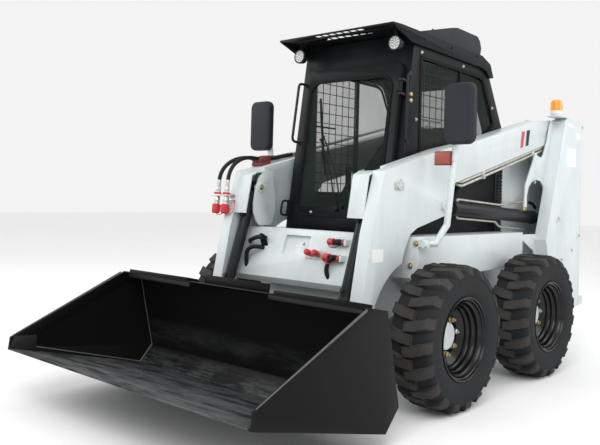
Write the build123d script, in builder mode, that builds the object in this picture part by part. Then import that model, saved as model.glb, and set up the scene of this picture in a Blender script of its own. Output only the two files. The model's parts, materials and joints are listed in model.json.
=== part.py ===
"""Compact skid steer loader: frame, cab, four lugged wheels, lift arms and a rolled-back bucket.

Millimetres. +Z is up, the machine looks along -Y and +X is its left side. Side outlines are lists of
(distance behind the front axle, height above the ground).
"""

import os
from math import atan2, cos, degrees, hypot, radians, sin, sqrt, tan

from build123d import *

# Wheels ------------------------------------------------------------------------------------------
wheelbase = 1050.0
tyre_radius = 386.5
tyre_width = 264.0
tread_depth = 22.0
shoulder_width = 14.0
shoulder_drop = 34.0
shoulder_radius = 345.0
lug_rows = 19
rim_radius = 210.0
rim_lip = 12.0
rim_width = 236.0
rim_wall = 10.0
disc_inset = 92.0
disc_wall = 12.0
hub_radius = 75.0
hub_length = 66.0
stud_circle = 101.5
stud_count = 8
nut_radius = 16.0
nut_height = 18.0
spindle_radius = 30.0
spindle_depth = 50.0
axle_radius = 62.0
axle_gap = 8.0
running_fit = 0.05

# Across the machine, from the tub's side outwards ------------------------------------------------
tub_half = 443.0
tub_wall = 12.0
tower_plate = 12.0
arm_gap = 8.0
arm_width = 127.0
leg_width = 80.0
cheek_plate = 12.0
cheek_spread = 61.0
tower_depth = 102.0
fender_reach = 27.0
wheel_gap = 46.0
bucket_overhang = 15.0
arm_inner = tub_half + tower_plate + arm_gap
arm_outer = arm_inner + arm_width
leg_inner = arm_outer - leg_width
cheek_inner = arm_inner - cheek_spread
tower_inner = arm_outer + arm_gap
tower_outer = tower_inner + tower_depth
fender_half = tower_inner + fender_reach
tyre_centre_x = fender_half + wheel_gap + tyre_width / 2
bucket_half = tyre_centre_x + tyre_width / 2 + bucket_overhang
lift_x = (arm_inner + arm_outer) / 2
tilt_x = (cheek_inner + cheek_plate + leg_inner) / 2

# Frame and towers --------------------------------------------------------------------------------
belly_height = 205.0
deck_height = 905.0
fender_thick = 10.0
fender_skirt = 231.0
fender_front = -35.0
fender_rear = 1240.0
tower_rear = 2052.0
tower_foot = 330.0
tower_rise = 840.0
tower_top = deck_height + tower_rise
tie_down = (2070.0, tower_top - 45.0)
tie_down_radius = 34.0
tie_down_hole = 13.0
tie_down_length = 40.0

# Lift arms, bucket and their pins ----------------------------------------------------------------
arm_pivot = (1800.0, deck_height + 725.0)
lift_base_pin = (1630.0, deck_height + 95.0)
lift_rod_pin = (280.0, deck_height + 172.0)
tilt_top_pin = (-262.0, deck_height + 260.0)
bucket_hinge = (-470.0, 215.0)
tilt_low_pin = (-500.0, 430.0)
bucket_hinge_front = (bucket_hinge[0] - 60.0, bucket_hinge[1])
arm_pin = 25.0
cylinder_pin = 20.0
lift_bore = 45.0
lift_rod = 25.0
tilt_bore = 33.0
tilt_rod = 19.0
bucket_side = 14.0

# Cab ---------------------------------------------------------------------------------------------
cab_gap = 8.0
cab_half = tub_half - cab_gap
cab_wall = 40.0
roof_overhang = 20.0
roof_half = cab_half + roof_overhang
door_edge = 43.0
door_half = cab_half - door_edge
door_lean = 8.0
door_height = 1015.0
door_thick = 30.0
door_step = 20.0
door_sill = deck_height + door_step
door_foot = -35.0
door_gap = 5.0

# The bucket's lip is the foremost point and the towers' steps the rearmost.
bucket_tip = (-1525.0, 270.0)
step_reach = 2180.0
front_axle_y = -(bucket_tip[0] + step_reach) / 2

os.makedirs("parts", exist_ok=True)


def save(built, name):
    """Labels a finished piece and writes it as its own file."""
    built.part.label = name
    export_step(built.part, "parts/" + name + ".step")


def side_plane(x):
    """The plane across the machine at x, with its first axis running back and its second up."""
    return Plane(origin=(x, front_axle_y, 0), x_dir=(0, 1, 0), z_dir=(1, 0, 0))


def over_deck(*points):
    """Side points whose heights are counted from the deck."""
    return [(behind, deck_height + rise) for behind, rise in points]


def slab(outline, x_from, x_to, mode=Mode.ADD):
    """Extrudes a side outline between two planes across the machine."""
    with BuildSketch(side_plane(x_from)) as profile:
        with BuildLine():
            Polyline(*outline, close=True)
        make_face()
    extrude(profile.sketch, amount=x_to - x_from, mode=mode)


def rod(at, radius, x_from, x_to, mode=Mode.ADD):
    """A round bar or bore along X, centred on a side point."""
    with BuildSketch(side_plane(x_from)) as disc:
        with Locations(at):
            Circle(radius)
    extrude(disc.sketch, amount=x_to - x_from, mode=mode)


def block(x_span, y_span, z_span, mode=Mode.ADD):
    """A box between two corners, its y counted from the front axle."""
    centre = (sum(x_span) / 2, front_axle_y + sum(y_span) / 2, sum(z_span) / 2)
    with Locations(centre):
        Box(x_span[1] - x_span[0], y_span[1] - y_span[0], z_span[1] - z_span[0], mode=mode)


def straight(start, end, radius):
    """A round bar between two points in space."""
    run = end - start
    with BuildSketch(Plane(origin=start, z_dir=run)) as section:
        Circle(radius)
    extrude(section.sketch, amount=run.length)


def spot(x, behind, height):
    """The point in space at x on a side point."""
    return Vector(x, front_axle_y + behind, height)


def tube(corners, radius):
    """A tube bent in short mitred steps through points in space."""
    with BuildLine() as route:
        Polyline(*corners)
    with BuildSketch(Plane(origin=corners[0], z_dir=corners[1] - corners[0])) as section:
        Circle(radius)
    sweep(section.sketch, path=route.line, transition=Transition.RIGHT)


def standing(x, behind, radius, z_from, z_to, mode=Mode.ADD):
    """An upright round bar or bore."""
    with BuildSketch(Plane.XY.offset(z_from)) as disc:
        with Locations((x, front_axle_y + behind)):
            Circle(radius)
    extrude(disc.sketch, amount=z_to - z_from, mode=mode)


def along(start, end, distance):
    """The side point that lies a distance from start towards end."""
    length = hypot(end[0] - start[0], end[1] - start[1])
    share = distance / length
    return (start[0] + (end[0] - start[0]) * share, start[1] + (end[1] - start[1]) * share)


def bar(start, end, x, radius, mode=Mode.ADD):
    """A round bar between two side points, centred at x."""
    direction = (0, end[0] - start[0], end[1] - start[1])
    origin = (x, front_axle_y + start[0], start[1])
    with BuildSketch(Plane(origin=origin, x_dir=(1, 0, 0), z_dir=direction)) as section:
        Circle(radius)
    extrude(section.sketch, amount=hypot(direction[1], direction[2]), mode=mode)


def hex_bar(start, end, x, radius):
    """A six-sided fitting between two side points, centred at x."""
    direction = (0, end[0] - start[0], end[1] - start[1])
    with BuildSketch(Plane(origin=spot(x, *start), x_dir=(1, 0, 0), z_dir=direction)) as section:
        RegularPolygon(radius, 6)
    extrude(section.sketch, amount=hypot(direction[1], direction[2]))


def mirrored(built):
    """The same piece for the machine's other side."""
    with BuildPart() as other:
        add(mirror(built.part, about=Plane.YZ))
    return other


# Tyre, rim and hub, made once about the X axis ---------------------------------------------------
# The carcass and the lugs have flat faces, one pair of lugs to each face of the carcass.
tread_base = tyre_radius - tread_depth
half_width = tyre_width / 2
tread_half = half_width - shoulder_width
lug_sweep = 40.0
lug_top = sqrt(tyre_radius ** 2 - lug_sweep ** 2)
corner_turn = degrees(atan2(lug_sweep, lug_top))
# One lug seen from outside: (across the tread from its centre, round the tread).
lug_outline = [(0.0, -lug_sweep), (tread_half, -2.0), (tread_half, lug_sweep), (0.0, -4.0)]
with BuildPart() as lug:
    with BuildSketch(Plane(origin=(0, 0, -shoulder_radius), x_dir=(1, 0, 0), z_dir=(0, 0, -1))):
        with BuildLine():
            Polyline(*lug_outline, close=True)
        make_face()
    extrude(amount=lug_top - shoulder_radius)
lug_pitch = 360.0 / lug_rows
lugs = []
for row in range(lug_rows):
    lugs.append(lug.part.rotate(Axis.X, corner_turn + lug_pitch * row))
    lugs.append(mirror(lug.part, about=Plane.YZ).rotate(Axis.X, corner_turn + lug_pitch * (row + 0.5)))

with BuildPart() as tyre:
    with BuildSketch(Plane.YZ.offset(-half_width)):
        RegularPolygon(tread_base, lug_rows)
    extrude(amount=tyre_width)
    ends = tyre.faces().filter_by(Axis.X)
    for end_face in (ends.sort_by(Axis.X)[-1], ends.sort_by(Axis.X)[0]):
        chamfer(end_face.edges(), shoulder_width, shoulder_drop, reference=end_face)
    add(lugs)
    with BuildSketch(Plane.YZ.offset(-half_width)):
        Circle(rim_radius + rim_lip)
    extrude(amount=tyre_width, mode=Mode.SUBTRACT)

# The rim's barrel with a deep dish outside, the disc near its inner end, the hub's boss and the nuts.
disc_face = -disc_inset + disc_wall
dish_radius = rim_radius - rim_wall
with BuildPart() as rim:
    with BuildSketch(Plane.YZ.offset(-rim_width / 2)):
        Circle(rim_radius + rim_lip)
    extrude(amount=rim_width)
    with BuildSketch(Plane.YZ.offset(disc_face)):
        Circle(dish_radius)
    extrude(amount=rim_width, mode=Mode.SUBTRACT)
    with BuildSketch(Plane.YZ.offset(-disc_inset)):
        Circle(hub_radius)
    extrude(amount=hub_length)
    with BuildSketch(Plane.YZ.offset(disc_face)):
        with PolarLocations(stud_circle, stud_count):
            RegularPolygon(nut_radius, 6)
    extrude(amount=nut_height)
    with BuildSketch(Plane.YZ.offset(-disc_inset)):
        Circle(spindle_radius + running_fit)
    extrude(amount=spindle_depth, both=True, mode=Mode.SUBTRACT)

wheel_places = [("front_left", 1, 0.0), ("front_right", -1, 0.0),
                ("rear_left", 1, wheelbase), ("rear_right", -1, wheelbase)]
for corner, side, behind in wheel_places:
    for piece, name in ((tyre, "tyre_"), (rim, "rim_")):
        handed = piece.part if side > 0 else mirror(piece.part, about=Plane.YZ)
        with BuildPart() as placed:
            with Locations((side * tyre_centre_x, front_axle_y + behind, tyre_radius)):
                add(handed)
        save(placed, name + corner)

# Main frame --------------------------------------------------------------------------------------
tub_front = -185.0
tub_rear = tower_rear - tower_plate
tub_nose = tub_front - 60.0
nose_top = 500.0
nose_foot = 300.0
nose_shoulder = 600.0
past = 1.0
tub_outline = [(tub_front, deck_height), (tub_front, nose_shoulder), (tub_nose, nose_top),
               (tub_nose, nose_foot), (-150.0, belly_height), (1750.0, belly_height),
               (tub_rear, tower_foot), (tub_rear, deck_height)]
tub_inside = [(tub_front + tub_wall, deck_height + past), (tub_front + tub_wall, nose_shoulder),
              (tub_nose + tub_wall, nose_top - 3.0), (tub_nose + tub_wall, nose_foot + 5.0),
              (-145.0, belly_height + tub_wall), (1747.0, belly_height + tub_wall),
              (tub_rear - tub_wall, tower_foot + 8.0), (tub_rear - tub_wall, deck_height + past)]
fender_low = deck_height - fender_skirt
engine_top = deck_height + 245.0
engine_foot = 480.0
engine_half = 240.0
engine_front = 1330.0
engine_length = 600.0
mount_beam = 60.0
with BuildPart() as main_frame:
    slab(tub_outline, -tub_half, tub_half)
    slab(tub_inside, -tub_half + tub_wall, tub_half - tub_wall, mode=Mode.SUBTRACT)
    for side in (1, -1):
        block(sorted((side * tub_half, side * fender_half)), (fender_front, fender_rear),
              (deck_height - fender_thick, deck_height))
        block(sorted((side * (fender_half - fender_thick), side * fender_half)),
              (fender_front, fender_rear), (fender_low, deck_height))
        block(sorted((side * tub_half, side * fender_half)), (fender_front, fender_front + fender_thick),
              (fender_low, deck_height))
    # Two cross beams that the engine sits on.
    for behind in (engine_front + 40.0, engine_front + engine_length - 100.0):
        block((-tub_half + tub_wall, tub_half - tub_wall), (behind, behind + mount_beam),
              (engine_foot - mount_beam, engine_foot))
save(main_frame, "main_frame")

# Axle housings and the spindles that the hubs turn on --------------------------------------------
housing_end = tyre_centre_x - rim_width / 2 - axle_gap
spindle_end = tyre_centre_x - disc_inset + spindle_depth - axle_gap
with BuildPart() as axle_housings:
    for behind in (0.0, wheelbase):
        rod((behind, tyre_radius), axle_radius, tub_half, housing_end)
        rod((behind, tyre_radius), spindle_radius, housing_end, spindle_end)
    mirror(about=Plane.YZ)
save(axle_housings, "axle_housings")

# Towers ------------------------------------------------------------------------------------------
inner_low = over_deck((1500.0, -145.0), (1252.0, -105.0))
inner_high = over_deck((1252.0, 0.0), (1252.0, 445.0), (1420.0, 735.0))
inner_rear = [(1620.0, tower_top - 15.0), (2010.0, tower_top - 15.0), (tower_rear, tower_top - 55.0),
              (tower_rear, tower_foot), (1500.0, tower_foot)]
inner_plate = inner_high + inner_rear + inner_low
slot_edge = over_deck((1500.0, -18.0), (1605.0, 285.0), (1582.0, 333.0), (1540.0, 362.0), (1465.0, 369.0),
                      (1400.0, 354.0), (1350.0, 315.0), (1325.0, 255.0), (1325.0, 175.0), (1285.0, 175.0))
notch_edge = over_deck((1300.0, 325.0), (1458.0, 565.0), (1478.0, 546.0), (1520.0, 535.0), (1562.0, 541.0),
                       (1584.0, 560.0), (1640.0, 655.0))
tower_crown = [(1790.0, tower_top), (2020.0, tower_top), (tower_rear, tower_top - 45.0),
               (tower_rear, tower_foot), (1490.0, tower_foot), (1480.0, 480.0)]
outer_plate = slot_edge + notch_edge + [(1700.0, tower_top - 25.0)] + tower_crown
outer_plate += [(1500.0, 660.0)] + over_deck((1440.0, -135.0), (1180.0, -18.0))
tower_box = over_deck((1450.0, -55.0)) + [(1755.0, tower_top - 25.0)] + tower_crown + [(1510.0, 660.0)]
boss_radius = 30.0
boss_rise = 6.0
boss_places = [(1640.0, deck_height + 95.0), (2020.0, deck_height - 35.0)]
bumper_height = 60.0
with BuildPart() as left_tower:
    slab(inner_plate, tub_half, tub_half + tower_plate)
    slab(outer_plate, tower_inner, tower_inner + tower_plate)
    slab(tower_box, tower_inner + tower_plate, tower_outer)
    block((tub_half + tower_plate, tower_inner), (tower_rear - tower_plate, tower_rear),
          (tower_foot, tower_top - 55.0))
    rod(arm_pivot, arm_pin, tub_half + tower_plate, tower_inner)
    rod(lift_base_pin, cylinder_pin, tub_half + tower_plate, tower_inner)
    block((tub_half + tower_plate, tower_outer - 20.0), (tower_rear, step_reach),
          (tower_foot, tower_foot + bumper_height))
    for place in boss_places:
        rod(place, boss_radius, tower_outer, tower_outer + boss_rise)
    rod(tie_down, tie_down_radius, tower_outer - tie_down_length, tower_outer)
    rod(tie_down, tie_down_hole, tower_outer - tie_down_length - past, tower_outer + past, mode=Mode.SUBTRACT)
save(left_tower, "left_tower")
save(mirrored(left_tower), "right_tower")

# Engine and its hood -----------------------------------------------------------------------------
hood_front = 1170.0
hood_top = deck_height + 560.0
hood_wall = 12.0
with BuildPart() as engine_block:
    block((-engine_half, engine_half), (engine_front, engine_front + engine_length), (engine_foot, engine_top))
save(engine_block, "engine_block")

with BuildPart() as rear_hood:
    hood_half = tub_half - 1.0
    block((-hood_half, hood_half), (hood_front, tub_rear), (deck_height, hood_top))
    block((-hood_half + hood_wall, hood_half - hood_wall), (hood_front + hood_wall, tub_rear + past),
          (deck_height - past, hood_top - hood_wall), mode=Mode.SUBTRACT)
save(rear_hood, "rear_hood")

# Cab ---------------------------------------------------------------------------------------------
lean = radians(door_lean)
skin = (door_thick + door_gap) / cos(lean)


def front_line(height, back=0.0):
    """The side point on the door's outer face at a height, moved back by a distance."""
    return (door_foot + (height - door_sill) * sin(lean) / cos(lean) + back, height)


# The roof's upper face runs from its eave to its bend, and the cab's top meets its underside.
roof_plate = 12.0
roof_eave = (4.0, deck_height + 1216.0)
roof_bend = (935.0, deck_height + 1189.0)
roof_tail = over_deck((1046.0, 1147.0), (1090.0, 1063.0))
visor_front = -80.0
visor_top = deck_height + 1213.0


def roof_height(behind):
    """The height of the roof's upper face at a distance behind the front axle."""
    share = (behind - roof_eave[0]) / (roof_bend[0] - roof_eave[0])
    return roof_eave[1] + (roof_bend[1] - roof_eave[1]) * share


cab_front = 167.0
cab_rear_line = over_deck((1034.0, 1133.0), (1058.0, 1098.0), (1074.0, 1053.0), (1264.0, 722.0))
cab_outline = [front_line(deck_height, skin), front_line(roof_height(cab_front) - roof_plate, skin),
               (930.0, roof_height(930.0) - roof_plate)] + cab_rear_line
cab_outline += [(1264.0, hood_top), (hood_front, hood_top), (hood_front, deck_height)]
cab_inside = [front_line(door_sill, skin + cab_wall), front_line(deck_height + 1145.0, skin + cab_wall)]
cab_inside += over_deck((920.0, 1130.0), (1005.0, 1095.0), (1045.0, 1030.0), (1215.0, 710.0))
cab_inside += [(1215.0, hood_top + cab_wall), (hood_front - cab_wall, hood_top + cab_wall),
               (hood_front - cab_wall, deck_height + door_step)]
window_front = 225.0
side_window = over_deck((window_front, 225.0), (window_front, 1075.0), (950.0, 1057.0), (985.0, 1046.0),
                        (1010.0, 1020.0), (1150.0, 745.0), (640.0, 225.0))
rear_pane = over_deck((1087.0, 1024.0), (1258.0, 724.0), (1258.0, 656.0), (1252.0, 656.0), (1252.0, 722.0),
                      (1081.0, 1024.0))
rear_opening = (deck_height + 655.0, deck_height + 1025.0)
rear_window_half = 300.0
door_plane = Plane(origin=(0, front_axle_y + door_foot + door_thick / cos(lean), door_sill),
                   x_dir=(1, 0, 0), z_dir=(0, -cos(lean), sin(lean)))
with BuildPart() as cab_frame:
    slab(cab_outline, -cab_half, cab_half)
    slab(cab_inside, -cab_half + cab_wall, cab_half - cab_wall, mode=Mode.SUBTRACT)
    slab(side_window, -cab_half - 1.0, cab_half + 1.0, mode=Mode.SUBTRACT)
    with BuildSketch(door_plane.offset(-150.0)) as opening:
        with Locations((0, door_height / 2)):
            RectangleRounded(2 * door_half - 70.0, door_height - 80.0, 70.0)
    extrude(opening.sketch, amount=200.0, mode=Mode.SUBTRACT)
    block((-rear_window_half, rear_window_half), (1060.0, 1300.0), rear_opening, mode=Mode.SUBTRACT)
save(cab_frame, "cab_frame")

glass = 6.0
glass_inset = 14.0
with BuildPart() as cab_windows:
    slab(side_window, cab_half - glass_inset, cab_half - glass_inset + glass)
    mirror(about=Plane.YZ)
    slab(rear_pane, -rear_window_half, rear_window_half)
save(cab_windows, "cab_windows")

guard_bar = 6.0
guard_pitch = (88.0, 123.0)
guard_columns = 4
guard_rows = 5
guard_width = guard_columns * guard_pitch[0] + guard_bar
guard_height = guard_rows * guard_pitch[1] + guard_bar
with BuildPart() as window_guards:
    guard_x = cab_half - glass_inset - guard_bar - 4.0
    with BuildSketch(side_plane(guard_x)) as guard:
        with Locations((window_front + guard_width / 2, deck_height + 735.0)):
            Rectangle(guard_width, guard_height)
            with GridLocations(*guard_pitch, guard_columns, guard_rows):
                Rectangle(guard_pitch[0] - guard_bar, guard_pitch[1] - guard_bar, mode=Mode.SUBTRACT)
    extrude(guard.sketch, amount=guard_bar)
    mirror(about=Plane.YZ)
save(window_guards, "window_guards")

roof_under = [(1079.0, deck_height + 1057.0), (1038.0, deck_height + 1137.0),
              (roof_bend[0] - 3.0, roof_height(roof_bend[0] - 3.0) - roof_plate),
              (roof_eave[0], roof_eave[1] - roof_plate)]
roof_top = [(visor_front, visor_top - roof_plate), (visor_front, visor_top), roof_eave, roof_bend]
flange_low = over_deck((1040.0, 1050.0), (990.0, 1095.0), (930.0, 1107.0), (110.0, 1131.0))
flange_plate = 8.0
with BuildPart() as cab_roof:
    slab(roof_top + roof_tail + roof_under, -roof_half, roof_half)
    slab(roof_top + roof_tail + flange_low, roof_half - flange_plate, roof_half)
    slab(roof_top + roof_tail + flange_low, -roof_half, -roof_half + flange_plate)
    with BuildSketch(Plane.XY.offset(visor_top - 2 * roof_plate)) as holes:
        with Locations((0, front_axle_y + 20.0)):
            with GridLocations(56.0, 42.0, 7, 3):
                Rectangle(44.0, 30.0)
    extrude(holes.sketch, amount=4 * roof_plate, mode=Mode.SUBTRACT)
save(cab_roof, "cab_roof")

unit_front = 420.0
roof_unit_outline = [(unit_front, roof_height(unit_front))]
roof_unit_outline += over_deck((399.0, 1271.0), (787.0, 1371.0), (867.0, 1387.0), (1134.0, 1378.0),
                               (1170.0, 1350.0), (1188.0, 1300.0), (1175.0, 1245.0), (1150.0, 1105.0))
roof_unit_outline += [roof_tail[1], roof_tail[0], roof_bend]
with BuildPart() as roof_unit:
    slab(roof_unit_outline, -300.0, 300.0)
save(roof_unit, "roof_unit")

lamp_radius = 46.0
lamp_x = roof_half - 71.0
lamp_behind = 49.0
lamp_height = deck_height + 1121.0
stalk_half = 12.0
with BuildPart() as work_lamps:
    for side in (1, -1):
        centre = spot(side * lamp_x, lamp_behind, lamp_height)
        with BuildSketch(Plane(origin=centre, x_dir=(1, 0, 0), z_dir=(0, -1, 0))) as lamp:
            Circle(lamp_radius)
        extrude(lamp.sketch, amount=20.0)
        extrude(lamp.sketch, amount=-32.0)
        ahead = lamp_behind - stalk_half
        astern = lamp_behind + stalk_half
        stalk = [(ahead, lamp_height), (ahead, roof_height(ahead) - roof_plate),
                 (astern, roof_height(astern) - roof_plate), (astern, lamp_height)]
        slab(stalk, side * lamp_x - stalk_half, side * lamp_x + stalk_half)
save(work_lamps, "work_lamps")

seat_base = deck_height + door_step
cushion_low = seat_base + 115.0
cushion_top = cushion_low + 90.0
console_width = 110.0
console_outer = cab_half - cab_wall - 15.0
console_inner = console_outer - console_width
seat_half = console_inner - 30.0
with BuildPart() as seat:
    block((-seat_half, seat_half), (560.0, 1010.0), (cushion_low, cushion_top))
    block((-seat_half + 20.0, seat_half - 20.0), (960.0, 1060.0), (cushion_top, cushion_top + 510.0))
    block((-seat_half + 40.0, seat_half - 40.0), (580.0, 1000.0), (seat_base, cushion_low))
save(seat, "seat")

console_top = seat_base + 225.0
lever_inset = 40.0
lever_width = 30.0
with BuildPart() as control_levers:
    for side in (1, -1):
        block(sorted((side * console_inner, side * console_outer)), (420.0, 900.0), (seat_base, console_top))
        block(sorted((side * (console_inner + lever_inset), side * (console_inner + lever_inset + lever_width))),
              (470.0, 470.0 + lever_width), (console_top, console_top + 180.0))
save(control_levers, "control_levers")

# Mirrors, signal lamps ---------------------------------------------------------------------------
post_radius = 19.0
post_x = fender_half + 43.0
mirror_x = fender_half + 171.0
mirror_face = 118.0
mirror_height = deck_height + 690.0
foot_height = deck_height - 35.0
post_behind = 141.0
post_route = [spot(post_x, fender_front - 15.0, foot_height), spot(post_x, 75.0, foot_height),
              spot(post_x + 32.0, post_behind, foot_height + 105.0),
              spot(mirror_x - 26.0, post_behind, mirror_height + 45.0)]
mirror_seat = (mirror_face, mirror_face + 22.0)
with BuildPart() as mirror_posts:
    tube(post_route, post_radius)
    block((fender_half, post_x + post_radius), (fender_front, fender_front + 24.0),
          (foot_height - 20.0, foot_height + 24.0))
    block((mirror_x - 50.0, mirror_x + 6.0), mirror_seat, (mirror_height - 30.0, mirror_height + 30.0))
    block((mirror_x - 96.0, mirror_x - 40.0), mirror_seat, (mirror_height - 260.0, mirror_height - 230.0))
    mirror(about=Plane.YZ)
save(mirror_posts, "mirror_posts")

with BuildPart() as mirror_heads:
    with BuildSketch(Plane(origin=spot(mirror_x, mirror_face, mirror_height), x_dir=(1, 0, 0),
                           z_dir=(0, -1, 0))) as head:
        RectangleRounded(190.0, 340.0, 42.0)
    extrude(head.sketch, amount=45.0)
    mirror(about=Plane.YZ)
save(mirror_heads, "mirror_heads")

# The orange lamps below the mirrors and the tail lamps on the towers.
tail_lamp = (tower_rear, tower_rear + 14.0)
with BuildPart() as signal_lamps:
    block((mirror_x - 167.0, mirror_x - 56.0), (mirror_face - 22.0, mirror_face),
          (mirror_height - 285.0, mirror_height - 205.0))
    block((tower_outer - 74.0, tower_outer - 14.0), tail_lamp, (deck_height + 220.0, deck_height + 340.0))
    mirror(about=Plane.YZ)
save(signal_lamps, "signal_lamps")

beacon_radius = 46.0
beacon_x = tower_inner + beacon_radius + 10.0
beacon_y = 1690.0
beacon_plate = 8.0
beacon_height = 122.0
with BuildPart() as beacon:
    block((tower_inner + 2.0, tower_outer - 2.0), (beacon_y - 50.0, beacon_y + 160.0),
          (tower_top, tower_top + beacon_plate))
    with BuildSketch(Plane.XY.offset(tower_top + beacon_plate)):
        with Locations((beacon_x, front_axle_y + beacon_y)):
            Circle(beacon_radius)
    extrude(amount=beacon_height)
save(beacon, "beacon")

# Lift arms ---------------------------------------------------------------------------------------
# The arm's whole side outline, from the hood's front corner over the top, and back along the underside.
arm_top = over_deck((-300.0, 357.0), (292.0, 513.0), (625.0, 581.0), (1490.0, 795.0), (1720.0, 823.0),
                    (1800.0, 823.0), (1850.0, 808.0), (1885.0, 773.0), (1900.0, 735.0))
arm_under = over_deck((1892.0, 690.0), (1870.0, 655.0), (1671.0, 640.0), (452.0, 327.0), (379.0, 310.0),
                      (335.0, 255.0), (335.0, 125.0), (275.0, 113.0), (5.0, 49.0), (-58.0, 15.0),
                      (-109.0, -71.0), (-141.0, -168.0))
arm_leg = [(-330.0, 549.0), (-398.0, 300.0), (-410.0, 200.0), (-440.0, 160.0), (-500.0, 160.0),
           bucket_hinge_front, (-472.0, 570.0)] + over_deck((-404.0, 20.0))
arm_outline = arm_top + arm_under + arm_leg
# The leg is cut to an arc that clears the front tyre.
wheel_arch = 400.0
web_back = -180.0
arm_rear_part = over_deck((web_back, 388.0)) + arm_top[1:] + arm_under + over_deck((web_back, -173.0))
knee_slot = over_deck((480.0, 115.0), (480.0, 295.0), (180.0, 255.0), (180.0, 85.0))
slot_wall = 20.0
hood_front_line = over_deck((-150.0, 367.0), (-290.0, 357.0), (-338.0, 335.0), (-381.0, 102.0),
                            (-373.0, 102.0), (-331.0, 329.0), (-288.0, 349.0), (-150.0, 359.0))
cheek = over_deck((-240.0, 356.0), (-274.0, 320.0), (-300.0, 250.0), (-314.0, 160.0), (-312.0, 110.0),
                  (-290.0, 55.0), (-262.0, 25.0), (-160.0, 25.0), (-135.0, 110.0), (-134.0, 200.0),
                  (-155.0, 300.0), (-160.0, 363.0))
boss_reach = 20.0
pin_head = 30.0
with BuildPart() as left_arm:
    slab(arm_outline, leg_inner, arm_outer)
    slab(arm_rear_part, arm_inner, leg_inner)
    slab(knee_slot, arm_inner + slot_wall, arm_outer - slot_wall, mode=Mode.SUBTRACT)
    rod((0.0, tyre_radius), wheel_arch, arm_inner - past, arm_outer + past, mode=Mode.SUBTRACT)
    slab(cheek, cheek_inner, cheek_inner + cheek_plate)
    slab(hood_front_line, cheek_inner, leg_inner)
    block((cheek_inner + 4.0, leg_inner + 4.0), (web_back - 12.0, web_back + 4.0),
          (deck_height + 30.0, deck_height + 361.0))
    rod(tilt_top_pin, cylinder_pin, cheek_inner + cheek_plate, leg_inner)
    rod(tilt_top_pin, pin_head, cheek_inner - boss_rise, cheek_inner)
    rod(lift_rod_pin, pin_head, arm_outer, arm_outer + boss_reach)
    rod(arm_pivot, arm_pin + running_fit, arm_inner - past, arm_outer + past, mode=Mode.SUBTRACT)
    rod(bucket_hinge, cylinder_pin + running_fit, leg_inner - past, arm_outer + past, mode=Mode.SUBTRACT)
save(left_arm, "left_arm")

# The right arm also carries two quick couplers outboard of its front.
coupler_radius = 15.0
coupler_x = -arm_outer - 26.0
coupler_places = (-372.0, -316.0)
with BuildPart() as right_arm:
    add(mirror(left_arm.part, about=Plane.YZ))
    for behind in coupler_places:
        low = over_deck((behind, 92.0))[0]
        high = over_deck((behind + 18.0, 238.0))[0]
        hex_bar(low, high, coupler_x, coupler_radius)
    block((coupler_x - 10.0, -leg_inner), (-392.0, -282.0), (deck_height + 176.0, deck_height + 192.0))
save(right_arm, "right_arm")

cross_outline = over_deck((-253.0, 17.0), (-362.0, -267.0), (-330.0, -305.0), (-245.0, -285.0),
                          (-205.0, -205.0), (-200.0, 17.0))
# A foot step is sunk in its face, with a pair of couplers below and two more beside the left cylinder.
step_cut = over_deck((-300.0, -20.0), (-245.0, -20.0), (-287.0, -130.0), (-340.0, -130.0))
face_out = (-0.934, 0.358)
spout_radius = 12.0
spout_reach = 46.0
spout_foot = over_deck((-304.0, -118.0))[0]
spout_tip = (spout_foot[0] + face_out[0] * spout_reach, spout_foot[1] + face_out[1] * spout_reach)
side_spouts = over_deck((-300.0, -38.0), (-336.0, -124.0))
spout_root = cheek_inner - 60.0
spout_length = 130.0
spout_plate = 16.0
with BuildPart() as arm_cross_member:
    slab(cross_outline, -leg_inner, leg_inner)
    slab(step_cut, -160.0, 40.0, mode=Mode.SUBTRACT)
    for x in (82.0, 142.0):
        hex_bar(spout_foot, spout_tip, x, spout_radius)
    for place in side_spouts:
        with BuildSketch(side_plane(spout_root - spout_length)) as spout:
            with Locations(place):
                RegularPolygon(spout_radius, 6)
        extrude(spout.sketch, amount=spout_length)
        block((spout_root - spout_plate, spout_root), (place[0] - 14.0, -250.0),
              (place[1] - spout_plate, place[1] + spout_plate))
save(arm_cross_member, "arm_cross_member")

# Cylinders: a barrel on its base pin and a rod whose eye meets the pin of the piece it moves -------
# name, base pin, rod pin, x, barrel radius, rod radius, rod shown, eye width, travel left to go in
cylinder_table = [("lift", lift_base_pin, lift_rod_pin, lift_x, lift_bore, lift_rod, 172.2, 60.0, 0.0),
                  ("tilt", tilt_top_pin, tilt_low_pin, tilt_x, tilt_bore, tilt_rod, 132.6, 50.0, 33.0)]
eye_radius = cylinder_pin + 18.0
bore_floor = eye_radius + 30.0
bottom_gap = 6.0
for name, base, end, x, bore, shaft, rod_shown, eye, travel_in in cylinder_table:
    barrel_length = hypot(end[0] - base[0], end[1] - base[1]) - rod_shown
    mouth = along(base, end, barrel_length)
    with BuildPart() as barrel:
        bar(along(base, end, eye_radius - 8.0), mouth, x, bore)
        rod(base, eye_radius, x - eye / 2, x + eye / 2)
        bar(along(base, end, bore_floor), along(base, end, barrel_length + past), x,
            shaft + running_fit, mode=Mode.SUBTRACT)
        rod(base, cylinder_pin + running_fit, x - eye, x + eye, mode=Mode.SUBTRACT)
    save(barrel, name + "_barrel_left")
    save(mirrored(barrel), name + "_barrel_right")
    with BuildPart() as piston_rod:
        bar(along(base, end, bore_floor + bottom_gap + travel_in), end, x, shaft)
        rod(end, eye_radius, x - eye / 2, x + eye / 2)
    save(piston_rod, name + "_rod_left")
    save(mirrored(piston_rod), name + "_rod_right")

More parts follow.
